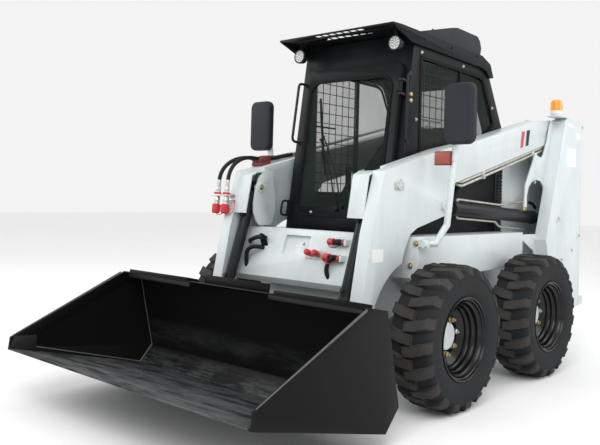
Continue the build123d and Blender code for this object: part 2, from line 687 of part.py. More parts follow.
# Quick attach frame and bucket -------------------------------------------------------------------
heel = (-727.0, 70.0)
bucket_knee = (-631.0, 170.0)
bucket_back_top = (-730.0, 616.0)
bucket_lip = (-846.0, 640.0)
tip_top = (bucket_tip[0] + 8.0, bucket_tip[1] + 66.0)
lip_run = (bucket_lip[0] - tip_top[0], bucket_lip[1] - tip_top[1])
strip_width = 60.0
strip_plate = 5.0
strip_turn = strip_width / hypot(*lip_run)
strip_drop = (lip_run[1] * strip_turn, -lip_run[0] * strip_turn)
strip_outline = [tip_top, bucket_lip, (bucket_lip[0] + strip_drop[0], bucket_lip[1] + strip_drop[1]),
                 (tip_top[0] + strip_drop[0], tip_top[1] + strip_drop[1])]
lip_flange = [(-848.0, 640.4), (-844.0, 656.0), (-764.0, 639.0), (-768.0, 623.9)]
lip_plate = [(-800.0, 630.5), (-794.0, 676.0), (-782.0, 673.6), (-788.0, 628.0)]
bucket_outline = [bucket_tip, heel, bucket_knee, bucket_back_top, bucket_lip, tip_top]
bucket_hollow = [(-1560.0, 288.0), (-724.0, 80.0), (-642.0, 173.0), (-738.0, 605.0), (-845.0, 630.0),
                 (-900.0, 660.0), (-1600.0, 500.0)]
with BuildPart() as bucket:
    slab(bucket_outline, -bucket_half, bucket_half)
    slab(bucket_hollow, -bucket_half + bucket_side, bucket_half - bucket_side, mode=Mode.SUBTRACT)
    for side in (1, -1):
        near = bucket_half - bucket_side - strip_plate
        slab(strip_outline, *sorted((side * near, side * (bucket_half - bucket_side))))
        slab(lip_flange, *sorted((side * 340.0, side * (bucket_half - 60.0))))
    slab(lip_plate, -250.0, 250.0)
save(bucket, "bucket")

back_run = (bucket_back_top[0] - bucket_knee[0], bucket_back_top[1] - bucket_knee[1])
back_length = hypot(*back_run)
back_unit = (back_run[0] / back_length, back_run[1] / back_length)
back_normal = (back_unit[1], -back_unit[0])


def behind_bucket(up, back):
    """The side point a distance up the bucket's back plate and a distance behind it."""
    return (bucket_knee[0] + back_unit[0] * up + back_normal[0] * back,
            bucket_knee[1] + back_unit[1] * up + back_normal[1] * back)


attach_plate = [behind_bucket(12.0, 0.0), behind_bucket(12.0, 24.0), behind_bucket(430.0, 24.0),
                behind_bucket(430.0, 0.0)]
ear_back = bucket_hinge[0] + 34.0
hinge_ear = [behind_bucket(20.0, 20.0), (bucket_hinge[0], bucket_hinge[1] - 42.0),
             (ear_back, bucket_hinge[1] - 22.0), (ear_back, bucket_hinge[1] + 28.0), behind_bucket(130.0, 20.0)]
tilt_ear = [behind_bucket(200.0, 20.0), (tilt_low_pin[0] + 10.0, tilt_low_pin[1] - 38.0),
            (tilt_low_pin[0] + 36.0, tilt_low_pin[1]), (tilt_low_pin[0] + 10.0, tilt_low_pin[1] + 38.0),
            behind_bucket(330.0, 20.0)]
ear_wall = 12.0
ear_gap = 6.0
attach_half = arm_outer + ear_gap + 2 * ear_wall
tilt_ear_gap = 3.0
with BuildPart() as quick_attach:
    slab(attach_plate, -attach_half, attach_half)
    for side in (1, -1):
        for near in (leg_inner - ear_gap - ear_wall, arm_outer + ear_gap):
            slab(hinge_ear, *sorted((side * near, side * (near + ear_wall))))
        for near in (tilt_x - 25.0 - tilt_ear_gap - ear_wall, tilt_x + 25.0 + tilt_ear_gap):
            slab(tilt_ear, *sorted((side * near, side * (near + ear_wall))))
        rod(bucket_hinge, cylinder_pin, *sorted((side * (leg_inner - ear_gap - ear_wall),
                                                 side * (arm_outer + ear_gap + ear_wall))))
save(quick_attach, "quick_attach")

# Door --------------------------------------------------------------------------------------------
hinge_x = door_half + 13.0
hinge_radius = 12.0
hinge_pin = 6.0
hinge_out = 12.0
hinge_stations = (140.0, 820.0)
# The grab bar stands off the latch side of the door, with the latch's handle below it.
handle_x = -door_half + 16.0
handle_foot = 534.0
handle_head = door_height - 78.0
handle_radius = 9.0
handle_reach = 60.0
latch_centre = (handle_x, 110.0)
with BuildPart() as front_door:
    with BuildSketch(door_plane) as leaf:
        with Locations((0, door_height / 2)):
            RectangleRounded(2 * door_half, door_height, 60.0)
            RectangleRounded(2 * door_half - 120.0, door_height - 150.0, 90.0, mode=Mode.SUBTRACT)
    extrude(leaf.sketch, amount=door_thick)
    for station in hinge_stations:
        origin = door_plane.from_local_coords((hinge_x, station, door_thick + hinge_out))
        with BuildSketch(Plane(origin=origin, x_dir=(1, 0, 0), z_dir=door_plane.y_dir)) as knuckle:
            Circle(hinge_radius)
            with Locations((-14.0, 0)):
                Rectangle(28.0, 2 * hinge_radius)
            Circle(hinge_pin + running_fit, mode=Mode.SUBTRACT)
        extrude(knuckle.sketch, amount=60.0)
    with BuildSketch(door_plane.offset(door_thick)) as feet:
        for foot in (handle_foot + handle_radius, handle_head - handle_radius):
            with Locations((handle_x, foot)):
                Rectangle(2 * handle_radius, 2 * handle_radius)
    extrude(feet.sketch, amount=handle_reach)
    bar_foot = door_plane.from_local_coords(Vector(handle_x, handle_foot, door_thick + handle_reach))
    bar_head = door_plane.from_local_coords(Vector(handle_x, handle_head, door_thick + handle_reach))
    straight(bar_foot, bar_head, handle_radius)
    with BuildSketch(door_plane.offset(door_thick)) as latch:
        with Locations(latch_centre):
            Rectangle(22.0, 96.0)
    extrude(latch.sketch, amount=24.0)
save(front_door, "front_door")

with BuildPart() as door_glass:
    with BuildSketch(door_plane.offset(12.0)) as pane:
        with Locations((0, door_height / 2)):
            RectangleRounded(2 * door_half - 120.0, door_height - 150.0, 90.0)
    extrude(pane.sketch, amount=glass)
save(door_glass, "door_glass")

with BuildPart() as door_hinges:
    for station in hinge_stations:
        origin = door_plane.from_local_coords((hinge_x, station - 20.0, door_thick + hinge_out))
        with BuildSketch(Plane(origin=origin, x_dir=(1, 0, 0), z_dir=door_plane.y_dir)) as pin:
            Circle(hinge_pin)
        extrude(pin.sketch, amount=100.0)
        for lift in (-20.0, 65.0):
            origin = door_plane.from_local_coords((hinge_x, station + lift, door_thick + hinge_out))
            with BuildSketch(Plane(origin=origin, x_dir=(1, 0, 0), z_dir=door_plane.y_dir)) as leaf_plate:
                with Locations((5.0, (door_thick + door_gap) / 2)):
                    Rectangle(26.0, door_thick + 2 * hinge_out + door_gap)
            extrude(leaf_plate.sketch, amount=15.0)
save(door_hinges, "door_hinges")

# Tailgate ----------------------------------------------------------------------------------------
gate_foot = 420.0
gate_top = deck_height + 535.0
gate_half = tub_half - 6.0
gate_gap = 6.0
gate_thick = 34.0
gate_out = tower_rear + gate_gap + gate_thick
gate_hinge_x = -gate_half - 18.0
gate_hinge_radius = 14.0
gate_pin = 7.0
gate_stations = (gate_foot + 140.0, gate_top - 200.0)
knuckle_length = 60.0
bracket_gap = 2.0
bracket_height = 12.0
vent_half = 280.0
vent_height = 20.0
vent_pitch = 62.0
vent_count = 6
with BuildPart() as tailgate:
    block((-gate_half, gate_half), (tower_rear + gate_gap, gate_out), (gate_foot, gate_top))
    for row in range(vent_count):
        low = deck_height - 60.0 + row * vent_pitch
        block((-vent_half, vent_half), (tower_rear, gate_out + past), (low, low + vent_height),
              mode=Mode.SUBTRACT)
    for station in gate_stations:
        block((gate_hinge_x, -gate_half), (gate_out - 12.0, gate_out), (station, station + knuckle_length))
        standing(gate_hinge_x, gate_out, gate_hinge_radius, station, station + knuckle_length)
        standing(gate_hinge_x, gate_out, gate_pin + running_fit, station - past,
                 station + knuckle_length + past, mode=Mode.SUBTRACT)
save(tailgate, "tailgate")

# The gate turns on pins held in brackets on the right tower's rear face.
with BuildPart() as gate_hinges:
    for station in gate_stations:
        low = station - bracket_gap - bracket_height
        high = station + knuckle_length + bracket_gap
        for foot in (low, high):
            block((gate_hinge_x - 20.0, gate_hinge_x + 8.0), (tower_rear, gate_out + 8.0),
                  (foot, foot + bracket_height))
        standing(gate_hinge_x, gate_out, gate_pin, low, high + bracket_height)
save(gate_hinges, "gate_hinges")
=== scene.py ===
"""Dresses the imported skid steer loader: paint, tyres, rims, glass, fittings and the studio it stands in.

Metres, in the row frame: +Z is up, the machine looks along -Y and +X is its left side. A side point is
(distance behind the front axle, height above the ground), as in the part's own source.
"""

import json
import logging
from collections.abc import Callable, Iterable, Mapping, Sequence
from dataclasses import dataclass, field
from enum import Enum
from math import cos, pi, radians, sin, tan

import bmesh
import bpy
from mathutils import Matrix, Vector

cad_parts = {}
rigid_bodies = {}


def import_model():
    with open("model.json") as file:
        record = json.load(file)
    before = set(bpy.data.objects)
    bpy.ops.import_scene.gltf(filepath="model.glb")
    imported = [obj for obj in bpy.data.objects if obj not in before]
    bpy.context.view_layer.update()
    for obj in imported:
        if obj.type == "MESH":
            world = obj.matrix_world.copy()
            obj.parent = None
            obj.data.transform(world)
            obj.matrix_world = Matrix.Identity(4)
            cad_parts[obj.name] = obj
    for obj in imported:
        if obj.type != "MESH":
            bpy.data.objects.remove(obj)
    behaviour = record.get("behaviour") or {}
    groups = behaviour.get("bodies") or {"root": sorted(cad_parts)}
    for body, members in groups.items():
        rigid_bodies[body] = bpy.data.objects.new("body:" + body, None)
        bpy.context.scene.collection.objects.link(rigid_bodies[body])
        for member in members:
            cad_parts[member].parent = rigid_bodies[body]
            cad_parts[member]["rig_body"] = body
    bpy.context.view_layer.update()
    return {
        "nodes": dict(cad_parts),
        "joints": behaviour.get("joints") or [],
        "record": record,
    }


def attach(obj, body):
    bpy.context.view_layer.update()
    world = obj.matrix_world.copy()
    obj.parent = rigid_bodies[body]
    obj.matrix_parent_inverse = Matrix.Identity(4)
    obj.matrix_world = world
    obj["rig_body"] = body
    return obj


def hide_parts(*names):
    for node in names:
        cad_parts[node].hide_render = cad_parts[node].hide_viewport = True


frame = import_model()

LOG = logging.getLogger("loader")

SidePoint = tuple[float, float]
Colour = tuple[float, float, float]
Geometry = Iterable[bmesh.types.BMVert | bmesh.types.BMEdge | bmesh.types.BMFace]
JOINTS = {joint["name"]: joint for joint in frame["joints"]}
FRONT_AXLE_Y = JOINTS["front_left_wheel_spin"]["pos_m"][1]
ACROSS = Vector((1, 0, 0))
UP = Vector((0, 0, 1))
BACK = Vector((0, 1, 0))
# How near two corners are one: in a shape made here, and in a CAD mesh.
MERGE, CAD_MERGE = 1e-6, 2e-5
# The angles up to which CAD facets are flat, and from which a CAD edge is rounded.
FLAT, CREASE = radians(1.0), radians(30)


def at(x: float, behind: float, height: float) -> Vector:
    """The point of the row frame at x, a distance behind the front axle and a height."""
    return Vector((x, FRONT_AXLE_Y + behind, height))


def turned_to(direction: Vector) -> Matrix:
    """The rotation that takes +X to a direction."""
    return ACROSS.rotation_difference(direction).to_matrix().to_4x4()


def points_at(*places: tuple[float, float, float]) -> list[Vector]:
    """The points of the row frame at several places, each as for at()."""
    return [at(*place) for place in places]


def oblong(left: float, foot: float, right: float, head: float) -> tuple[SidePoint, ...]:
    """The four corners of an oblong, in order round it."""
    return (left, foot), (right, foot), (right, head), (left, head)


def between(values: Sequence[float], index: int, part: float) -> float:
    """The value a part of the way from one entry of a table to the next."""
    return values[index] + (values[index + 1] - values[index]) * part


def verts_in(geometry: Geometry) -> list[bmesh.types.BMVert]:
    """The corners among what a bmesh operator made."""
    return [item for item in geometry if isinstance(item, bmesh.types.BMVert)]


def edges_of(verts: Iterable[bmesh.types.BMVert]) -> set[bmesh.types.BMEdge]:
    """Every edge that ends at one of these corners."""
    return {edge for vert in verts for edge in vert.link_edges}


# Shader maths --------------------------------------------------------------------------------------
@dataclass(frozen=True)
class Signal:
    """A number that varies over a surface: one socket, with the operators that the finishes use."""

    tree: bpy.types.NodeTree
    socket: bpy.types.NodeSocket

    def _maths(self, operation: str, left: "Signal | float", right: "Signal | float") -> "Signal":
        """Adds one Math node.

        Args:
            operation: the Math node's operation.
            left: its first value.
            right: its second value.

        Returns:
            The node's result.
        """
        node = self.tree.nodes.new("ShaderNodeMath")
        node.operation = operation
        for socket, value in zip(node.inputs, (left, right)):
            if isinstance(value, Signal):
                self.tree.links.new(value.socket, socket)
            else:
                socket.default_value = value
        return Signal(self.tree, node.outputs[0])

    def __add__(self, other: "Signal | float") -> "Signal":
        """Self plus other."""
        return self._maths("ADD", self, other)

    def __radd__(self, other: float) -> "Signal":
        """Other plus self."""
        return self._maths("ADD", other, self)

    def __sub__(self, other: "Signal | float") -> "Signal":
        """Self less other."""
        return self._maths("SUBTRACT", self, other)

    def __rsub__(self, other: float) -> "Signal":
        """Other less self."""
        return self._maths("SUBTRACT", other, self)

    def __mul__(self, other: "Signal | float") -> "Signal":
        """Self times other."""
        return self._maths("MULTIPLY", self, other)

    def above(self, edge: float, width: float) -> "Signal":
        """A soft step from 0 to 1 as self rises past an edge, over a width."""
        slope = self._maths("DIVIDE", self - (edge - width / 2), width)
        return slope._maths("MINIMUM", slope._maths("MAXIMUM", slope, 0.0), 1.0)


class Bench:
    """The node tree of one material, with the few ways that this object's finishes add nodes to it."""

    def __init__(self, name: str) -> None:
        """Starts a material that holds one Principled shader."""
        self.material = bpy.data.materials.new(name)
        self.material.use_nodes = True
        self.tree = self.material.node_tree
        self.tree.nodes.clear()
        self.shader = self.node("ShaderNodeBsdfPrincipled", {}, {})
        output = self.tree.nodes.new("ShaderNodeOutputMaterial")
        self.tree.links.new(self.shader.outputs[0], output.inputs[0])
        self.place = self.node("ShaderNodeTexCoord", {}, {}).outputs["Object"]

    def node(self, kind: str, settings: Mapping[str, object], sockets: Mapping[str | int, object]) -> bpy.types.Node:
        """Adds a node.

        Args:
            kind: the node's type.
            settings: its properties, set first.
            sockets: values or links of its inputs, by name or number.

        Returns:
            The node.
        """
        made = self.tree.nodes.new(kind)
        for key, value in settings.items():
            setattr(made, key, value)
        for key, value in sockets.items():
            self.feed(made.inputs[key], value)
        return made

    def feed(self, socket: bpy.types.NodeSocket, value: object) -> None:
        """Links a signal or another node's output to an input, or sets the input's own value."""
        if isinstance(value, Signal):
            self.tree.links.new(value.socket, socket)
        elif isinstance(value, bpy.types.NodeSocket):
            self.tree.links.new(value, socket)
        elif isinstance(value, tuple) and len(value) == 3 and socket.type == "RGBA":
            socket.default_value = (*value, 1.0)
        else:
            socket.default_value = value

    def stretched(self, scale: tuple[float, float, float]) -> bpy.types.NodeSocket:
        """Object coordinates, scaled along each axis."""
        return self.node("ShaderNodeMapping", {}, {"Vector": self.place, "Scale": scale}).outputs[0]

    def noise(self, scale: float, detail: float = 4.0, rough: float = 0.55,
              place: bpy.types.NodeSocket | None = None) -> Signal:
        """Fractal noise from 0 to 1 on Object coordinates or a given place."""
        made = self.node("ShaderNodeTexNoise", {}, {"Vector": place or self.place, "Scale": scale,
                                                    "Detail": detail, "Roughness": rough})
        return Signal(self.tree, made.outputs[0])

    def axis(self, letter: str) -> Signal:
        """One Object coordinate."""
        made = self.node("ShaderNodeSeparateXYZ", {}, {0: self.place})
        return Signal(self.tree, made.outputs[letter])

    def blend(self, under: "Colour | bpy.types.NodeSocket", over: "Colour | bpy.types.NodeSocket",
              share: Signal) -> bpy.types.NodeSocket:
        """A colour between two, by a share."""
        return self.node("ShaderNodeMix", {"data_type": "RGBA"}, {0: share, 6: under, 7: over}).outputs[2]

    def bumped(self, height: Signal, depth: float) -> None:
        """Feeds the shader's normal from a height in metres."""
        made = self.node("ShaderNodeBump", {}, {"Height": height, "Strength": 1.0, "Distance": depth})
        self.tree.links.new(made.outputs[0], self.shader.inputs["Normal"])

    def dress(self, **values: object) -> bpy.types.Material:
        """Sets the shader's sockets by their names, with _ for a space, and returns the material."""
        for key, value in values.items():
            self.feed(self.shader.inputs[key.replace("_", " ")], value)
        return self.material


# Finishes ------------------------------------------------------------------------------------------
@dataclass(frozen=True)
class Paint:
    """Sprayed paint over steel, with faint orange peel, a little grime and dust that gathers low down."""

    name: str
    colour: Colour
    shade: Colour
    dust: Colour = (0.42, 0.38, 0.33)
    dust_share: float = 0.25
    dust_top: float = 0.9
    roughness: float = 0.32
    coat: float = 0.3
    peel: float = 0.00012
    shine: float = 0.5

    def make(self) -> bpy.types.Material:
        """Builds the paint's material."""
        bench = Bench(self.name)
        patches = bench.noise(2.3, 5.0, 0.6)
        streaks = bench.noise(9.0, 6.0, 0.65, bench.stretched((1.0, 1.0, 0.22)))
        body = bench.blend(self.colour, self.shade, (patches * streaks * 2.2 - 0.15).above(0.42, 0.7))
        low = 1.0 - bench.axis("Z").above(self.dust_top / 2, self.dust_top)
        specks = bench.noise(55.0, 4.0, 0.7).above(0.5, 0.35)
        dusty = low * (0.35 + specks * 0.65) * self.dust_share
        peel = bench.noise(260.0, 2.0, 0.4)
        bench.bumped(peel + patches * 0.6, self.peel)
        return bench.dress(Base_Color=bench.blend(body, self.dust, dusty), Specular_IOR_Level=self.shine,
                           Roughness=self.roughness + streaks * 0.12 + dusty * 0.6,
                           Coat_Weight=self.coat - dusty * self.coat, Coat_Roughness=0.12)


@dataclass(frozen=True)
class WornPaint:
    """The bucket's black paint: its floor is filmed with dust and rubbed to steel in long scuffs."""

    name: str = "bucket_black"
    colour: Colour = (0.0045, 0.0050, 0.0042)
    film: Colour = (0.016, 0.019, 0.020)
    bare: Colour = (0.150, 0.160, 0.165)
    floor_height: float = 0.36
    back_line: float = -1.02
    inside: float = 0.925

    def make(self) -> bpy.types.Material:
        """Builds the worn paint's material."""
        bench = Bench(self.name)
        across, along, up = (bench.axis(letter) for letter in "XYZ")
        smear = bench.noise(4.0, 8.0, 0.72, bench.stretched((0.8, 2.8, 2.0)))
        scratch = bench.noise(60.0, 5.0, 0.7, bench.stretched((0.12, 1.6, 1.0)))
        fine = bench.noise(38.0, 6.0, 0.7)
        held = (across * across).above(self.inside ** 2, 0.01)
        floor = (1.0 - up.above(self.floor_height - 0.05, 0.1)) * (1.0 - held)
        ahead = 1.0 - along.above(self.back_line, 0.10)
        worn = (smear * 0.75 + scratch * 0.45).above(0.60, 0.16) * floor * ahead
        film = floor * ahead * (0.30 + fine * 0.35)
        rub = (smear * fine * 1.6).above(0.56, 0.2) * 0.10
        colour = bench.blend(bench.blend(self.colour, self.film, film + rub), self.bare, worn * 0.75)
        bench.bumped(scratch * 0.5 + bench.noise(300.0, 2.0, 0.5) * 0.4 - worn * 0.8, 0.00025)
        return bench.dress(Base_Color=colour, Metallic=worn * 0.5, Roughness=0.42 + fine * 0.12,
                           Specular_IOR_Level=0.12)


@dataclass(frozen=True)
class Rubber:
    """Moulded tyre rubber: brown dust on the tread, darker and bluer on the clean side walls."""

    name: str
    colour: Colour = (0.020, 0.020, 0.020)
    dust: Colour = (0.105, 0.098, 0.090)
    dust_share: float = 0.42
    grain: float = 0.0006
    shine: float = 0.14

    def make(self) -> bpy.types.Material:
        """Builds the rubber's material."""
        bench = Bench(self.name)
        broad = bench.noise(7.0, 5.0, 0.6)
        fine = bench.noise(120.0, 5.0, 0.65)
        scuffed = (broad * 0.7 + fine * 0.45).above(0.5, 0.35)
        bench.bumped(fine + bench.noise(600.0, 2.0, 0.6) * 0.4, self.grain)
        return bench.dress(Base_Color=bench.blend(self.colour, self.dust, scuffed * self.dust_share),
                           Roughness=0.60 + scuffed * 0.25, Specular_IOR_Level=self.shine)


@dataclass(frozen=True)
class Glass:
    """Tinted safety glass that shows what is behind it, slightly dusty, with a painted pale sheen in broad patches.
    """

    name: str
    tint: Colour = (0.020, 0.028, 0.026)
    solid: float = 0.35
    # The pale colour of the painted sheen.
    sheen: Colour = (0.10, 0.14, 0.12)

    def make(self) -> bpy.types.Material:
        """Builds the glass's material."""
        bench = Bench(self.name)
        broad = bench.noise(2.6, 4.0, 0.6, bench.stretched((1.0, 1.0, 0.6)))
        # Broad patches: there the glass is more solid, as under a dust film, and its colour is blended to the painted
        # sheen.
        film = broad.above(0.48, 0.4)
        specks = bench.noise(160.0, 3.0, 0.6)
        return bench.dress(Base_Color=bench.blend(self.tint, self.sheen, film * 0.6),
                           Alpha=self.solid + film * 0.07, Roughness=0.03 + specks * 0.03,
                           Specular_IOR_Level=0.22)


@dataclass(frozen=True)
class Bright:
    """Bare or plated metal, brushed or polished, a little tarnished."""

    name: str
    colour: Colour
    tarnish: Colour
    roughness: float = 0.25
    grain: tuple[float, float, float] = (1.0, 1.0, 1.0)

    def make(self) -> bpy.types.Material:
        """Builds the metal's material."""
        bench = Bench(self.name)
        brushed = bench.noise(180.0, 3.0, 0.6, bench.stretched(self.grain))
        spots = bench.noise(24.0, 5.0, 0.7)
        dull = (spots * 0.8 + brushed * 0.3).above(0.62, 0.3)
        bench.bumped(brushed, 0.00008)
        return bench.dress(Base_Color=bench.blend(self.colour, self.tarnish, dull), Metallic=1.0 - dull * 0.35,
                           Roughness=self.roughness + brushed * 0.1 + dull * 0.25)


@dataclass(frozen=True)
class Plastic:
    """Moulded plastic or rubber hose, with a fine grain and paler handled patches."""

    name: str
    colour: Colour
    worn: Colour
    roughness: float = 0.5
    grain: float = 0.0002
    grain_scale: float = 420.0
    coat: float = 0.0
    shine: float = 0.3

    def make(self) -> bpy.types.Material:
        """Builds the plastic's material."""
        bench = Bench(self.name)
        pebbles = bench.noise(self.grain_scale, 2.0, 0.5)
        patches = bench.noise(6.0, 5.0, 0.6).above(0.5, 0.4)
        bench.bumped(pebbles, self.grain)
        return bench.dress(Base_Color=bench.blend(self.colour, self.worn, patches * 0.7),
                           Roughness=self.roughness + patches * 0.12 - pebbles * 0.05, Coat_Weight=self.coat,
                           Coat_Roughness=0.08, Specular_IOR_Level=self.shine)


@dataclass(frozen=True)
class Lens:
    """Coloured lamp plastic with moulded flutes and a little painted glow, as of light held inside it."""

    name: str
    colour: Colour
    deep: Colour
    # The strength of the lens's painted glow.
    glow: float = 0.25
    flutes: float = 260.0

    def make(self) -> bpy.types.Material:
        """Builds the lens's material."""
        bench = Bench(self.name)
        wave = bench.node("ShaderNodeTexWave", {"wave_type": "BANDS", "bands_direction": "X"},
                          {"Vector": bench.place, "Scale": self.flutes / 6.0, "Distortion": 0.0})
        ribs = Signal(bench.tree, wave.outputs[1])
        body = bench.blend(self.colour, self.deep, ribs * 0.5 + bench.noise(20.0) * 0.4)
        bench.bumped(ribs, 0.0006)
        return bench.dress(Base_Color=body, Emission_Color=body, Emission_Strength=self.glow,
                           Roughness=0.12 + ribs * 0.08, Coat_Weight=0.8, Coat_Roughness=0.03)


class Finishes:
    """Every material of the machine, made once."""

    def __init__(self) -> None:
        """Makes the materials."""
        self.white = Paint("white_enamel", (0.66, 0.71, 0.72), (0.54, 0.60, 0.615), dust_share=0.12).make()
        self.black = Paint("black_enamel", (0.0055, 0.0065, 0.0080), (0.011, 0.012, 0.014), dust_share=0.06,
                           roughness=0.34, coat=0.06, shine=0.25).make()
        self.cab = Paint("cab_black", (0.0050, 0.0062, 0.0070), (0.010, 0.012, 0.013), dust_share=0.0,
                         roughness=0.36, coat=0.02, shine=0.12).make()
        self.rim = Paint("rim_black_gloss", (0.0022, 0.0024, 0.0030), (0.004, 0.004, 0.005), dust_share=0.0,
                         roughness=0.20, coat=0.08, peel=0.00004, shine=0.3).make()
        self.grey = Paint("frame_grey", (0.05, 0.055, 0.06), (0.08, 0.085, 0.09), dust_share=0.3,
                          roughness=0.5, coat=0.0, shine=0.3).make()
        self.cast = Paint("engine_cast", (0.10, 0.10, 0.105), (0.05, 0.05, 0.055), roughness=0.6, coat=0.0,
                          peel=0.0006, shine=0.3).make()
        self.red = Paint("stripe_red", (0.62, 0.03, 0.05), (0.50, 0.02, 0.04), dust_share=0.0).make()
        self.dark_stripe = Paint("stripe_dark", (0.008, 0.018, 0.017), (0.012, 0.022, 0.021), dust_share=0.0,
                                 shine=0.2, coat=0.0).make()
        self.blank_label = Paint("label_white", (0.80, 0.80, 0.79), (0.72, 0.72, 0.71), dust_share=0.0,
                                 roughness=0.45, coat=0.0).make()
        self.bucket = WornPaint().make()
        self.tread = Rubber("tyre_tread").make()
        self.side_wall = Rubber("tyre_side", (0.016, 0.018, 0.021), dust_share=0.08, grain=0.0003).make()
        self.seal = Plastic("rubber_seal", (0.006, 0.006, 0.007), (0.014, 0.014, 0.014), 0.7, shine=0.12).make()
        self.front_glass = Glass("door_glass", solid=0.10).make()
        # The side glass's last colour is its painted sheen.
        self.side_glass = Glass("side_glass", (0.008, 0.013, 0.012), 0.24, (0.03, 0.05, 0.04)).make()
        self.chrome = Bright("rod_chrome", (0.78, 0.79, 0.80), (0.5, 0.5, 0.5), 0.12, (1.0, 0.05, 0.05)).make()
        self.zinc = Bright("zinc_tube", (0.56, 0.55, 0.50), (0.32, 0.30, 0.26), 0.32, (1.0, 0.1, 0.1)).make()
        self.gold = Bright("yellow_zinc", (0.66, 0.52, 0.25), (0.38, 0.27, 0.12), 0.3).make()
        self.silver = Bright("bright_steel", (0.72, 0.72, 0.70), (0.40, 0.39, 0.36), 0.28).make()
        self.mirror = Bright("mirror_silver", (0.85, 0.87, 0.88), (0.7, 0.72, 0.73), 0.04).make()
        self.dark_plastic = Plastic("shell_grey", (0.016, 0.019, 0.024), (0.024, 0.028, 0.034), 0.5, shine=0.2).make()
        self.black_plastic = Plastic("fitting_black", (0.006, 0.006, 0.007), (0.014, 0.014, 0.015), 0.48,
                                     shine=0.2).make()
        self.hose = Plastic("hose_black", (0.007, 0.008, 0.009), (0.020, 0.020, 0.021), 0.5, 0.0004, 300.0,
                            shine=0.2).make()
        self.red_cap = Plastic("cap_red", (0.60, 0.03, 0.035), (0.42, 0.02, 0.03), 0.38, coat=0.3).make()
        self.clamp = Plastic("clamp_brown", (0.20, 0.045, 0.04), (0.12, 0.03, 0.03), 0.5).make()
        self.seat = Plastic("seat_vinyl", (0.022, 0.023, 0.025), (0.05, 0.05, 0.052), 0.5, 0.0007, 190.0).make()
        # Each lens's number after its two colours is the strength of its painted glow.
        self.amber = Lens("amber_lens", (0.95, 0.30, 0.01), (0.80, 0.18, 0.0), 0.35, 190.0).make()
        self.orange = Lens("signal_lens", (0.36, 0.055, 0.022), (0.20, 0.030, 0.014), 0.04).make()
        self.lamp = Lens("lamp_glass", (0.40, 0.41, 0.40), (0.20, 0.21, 0.21), 0.06, 300.0).make()
        self.tail = Lens("tail_lens", (0.55, 0.02, 0.02), (0.35, 0.01, 0.01), 0.06).make()


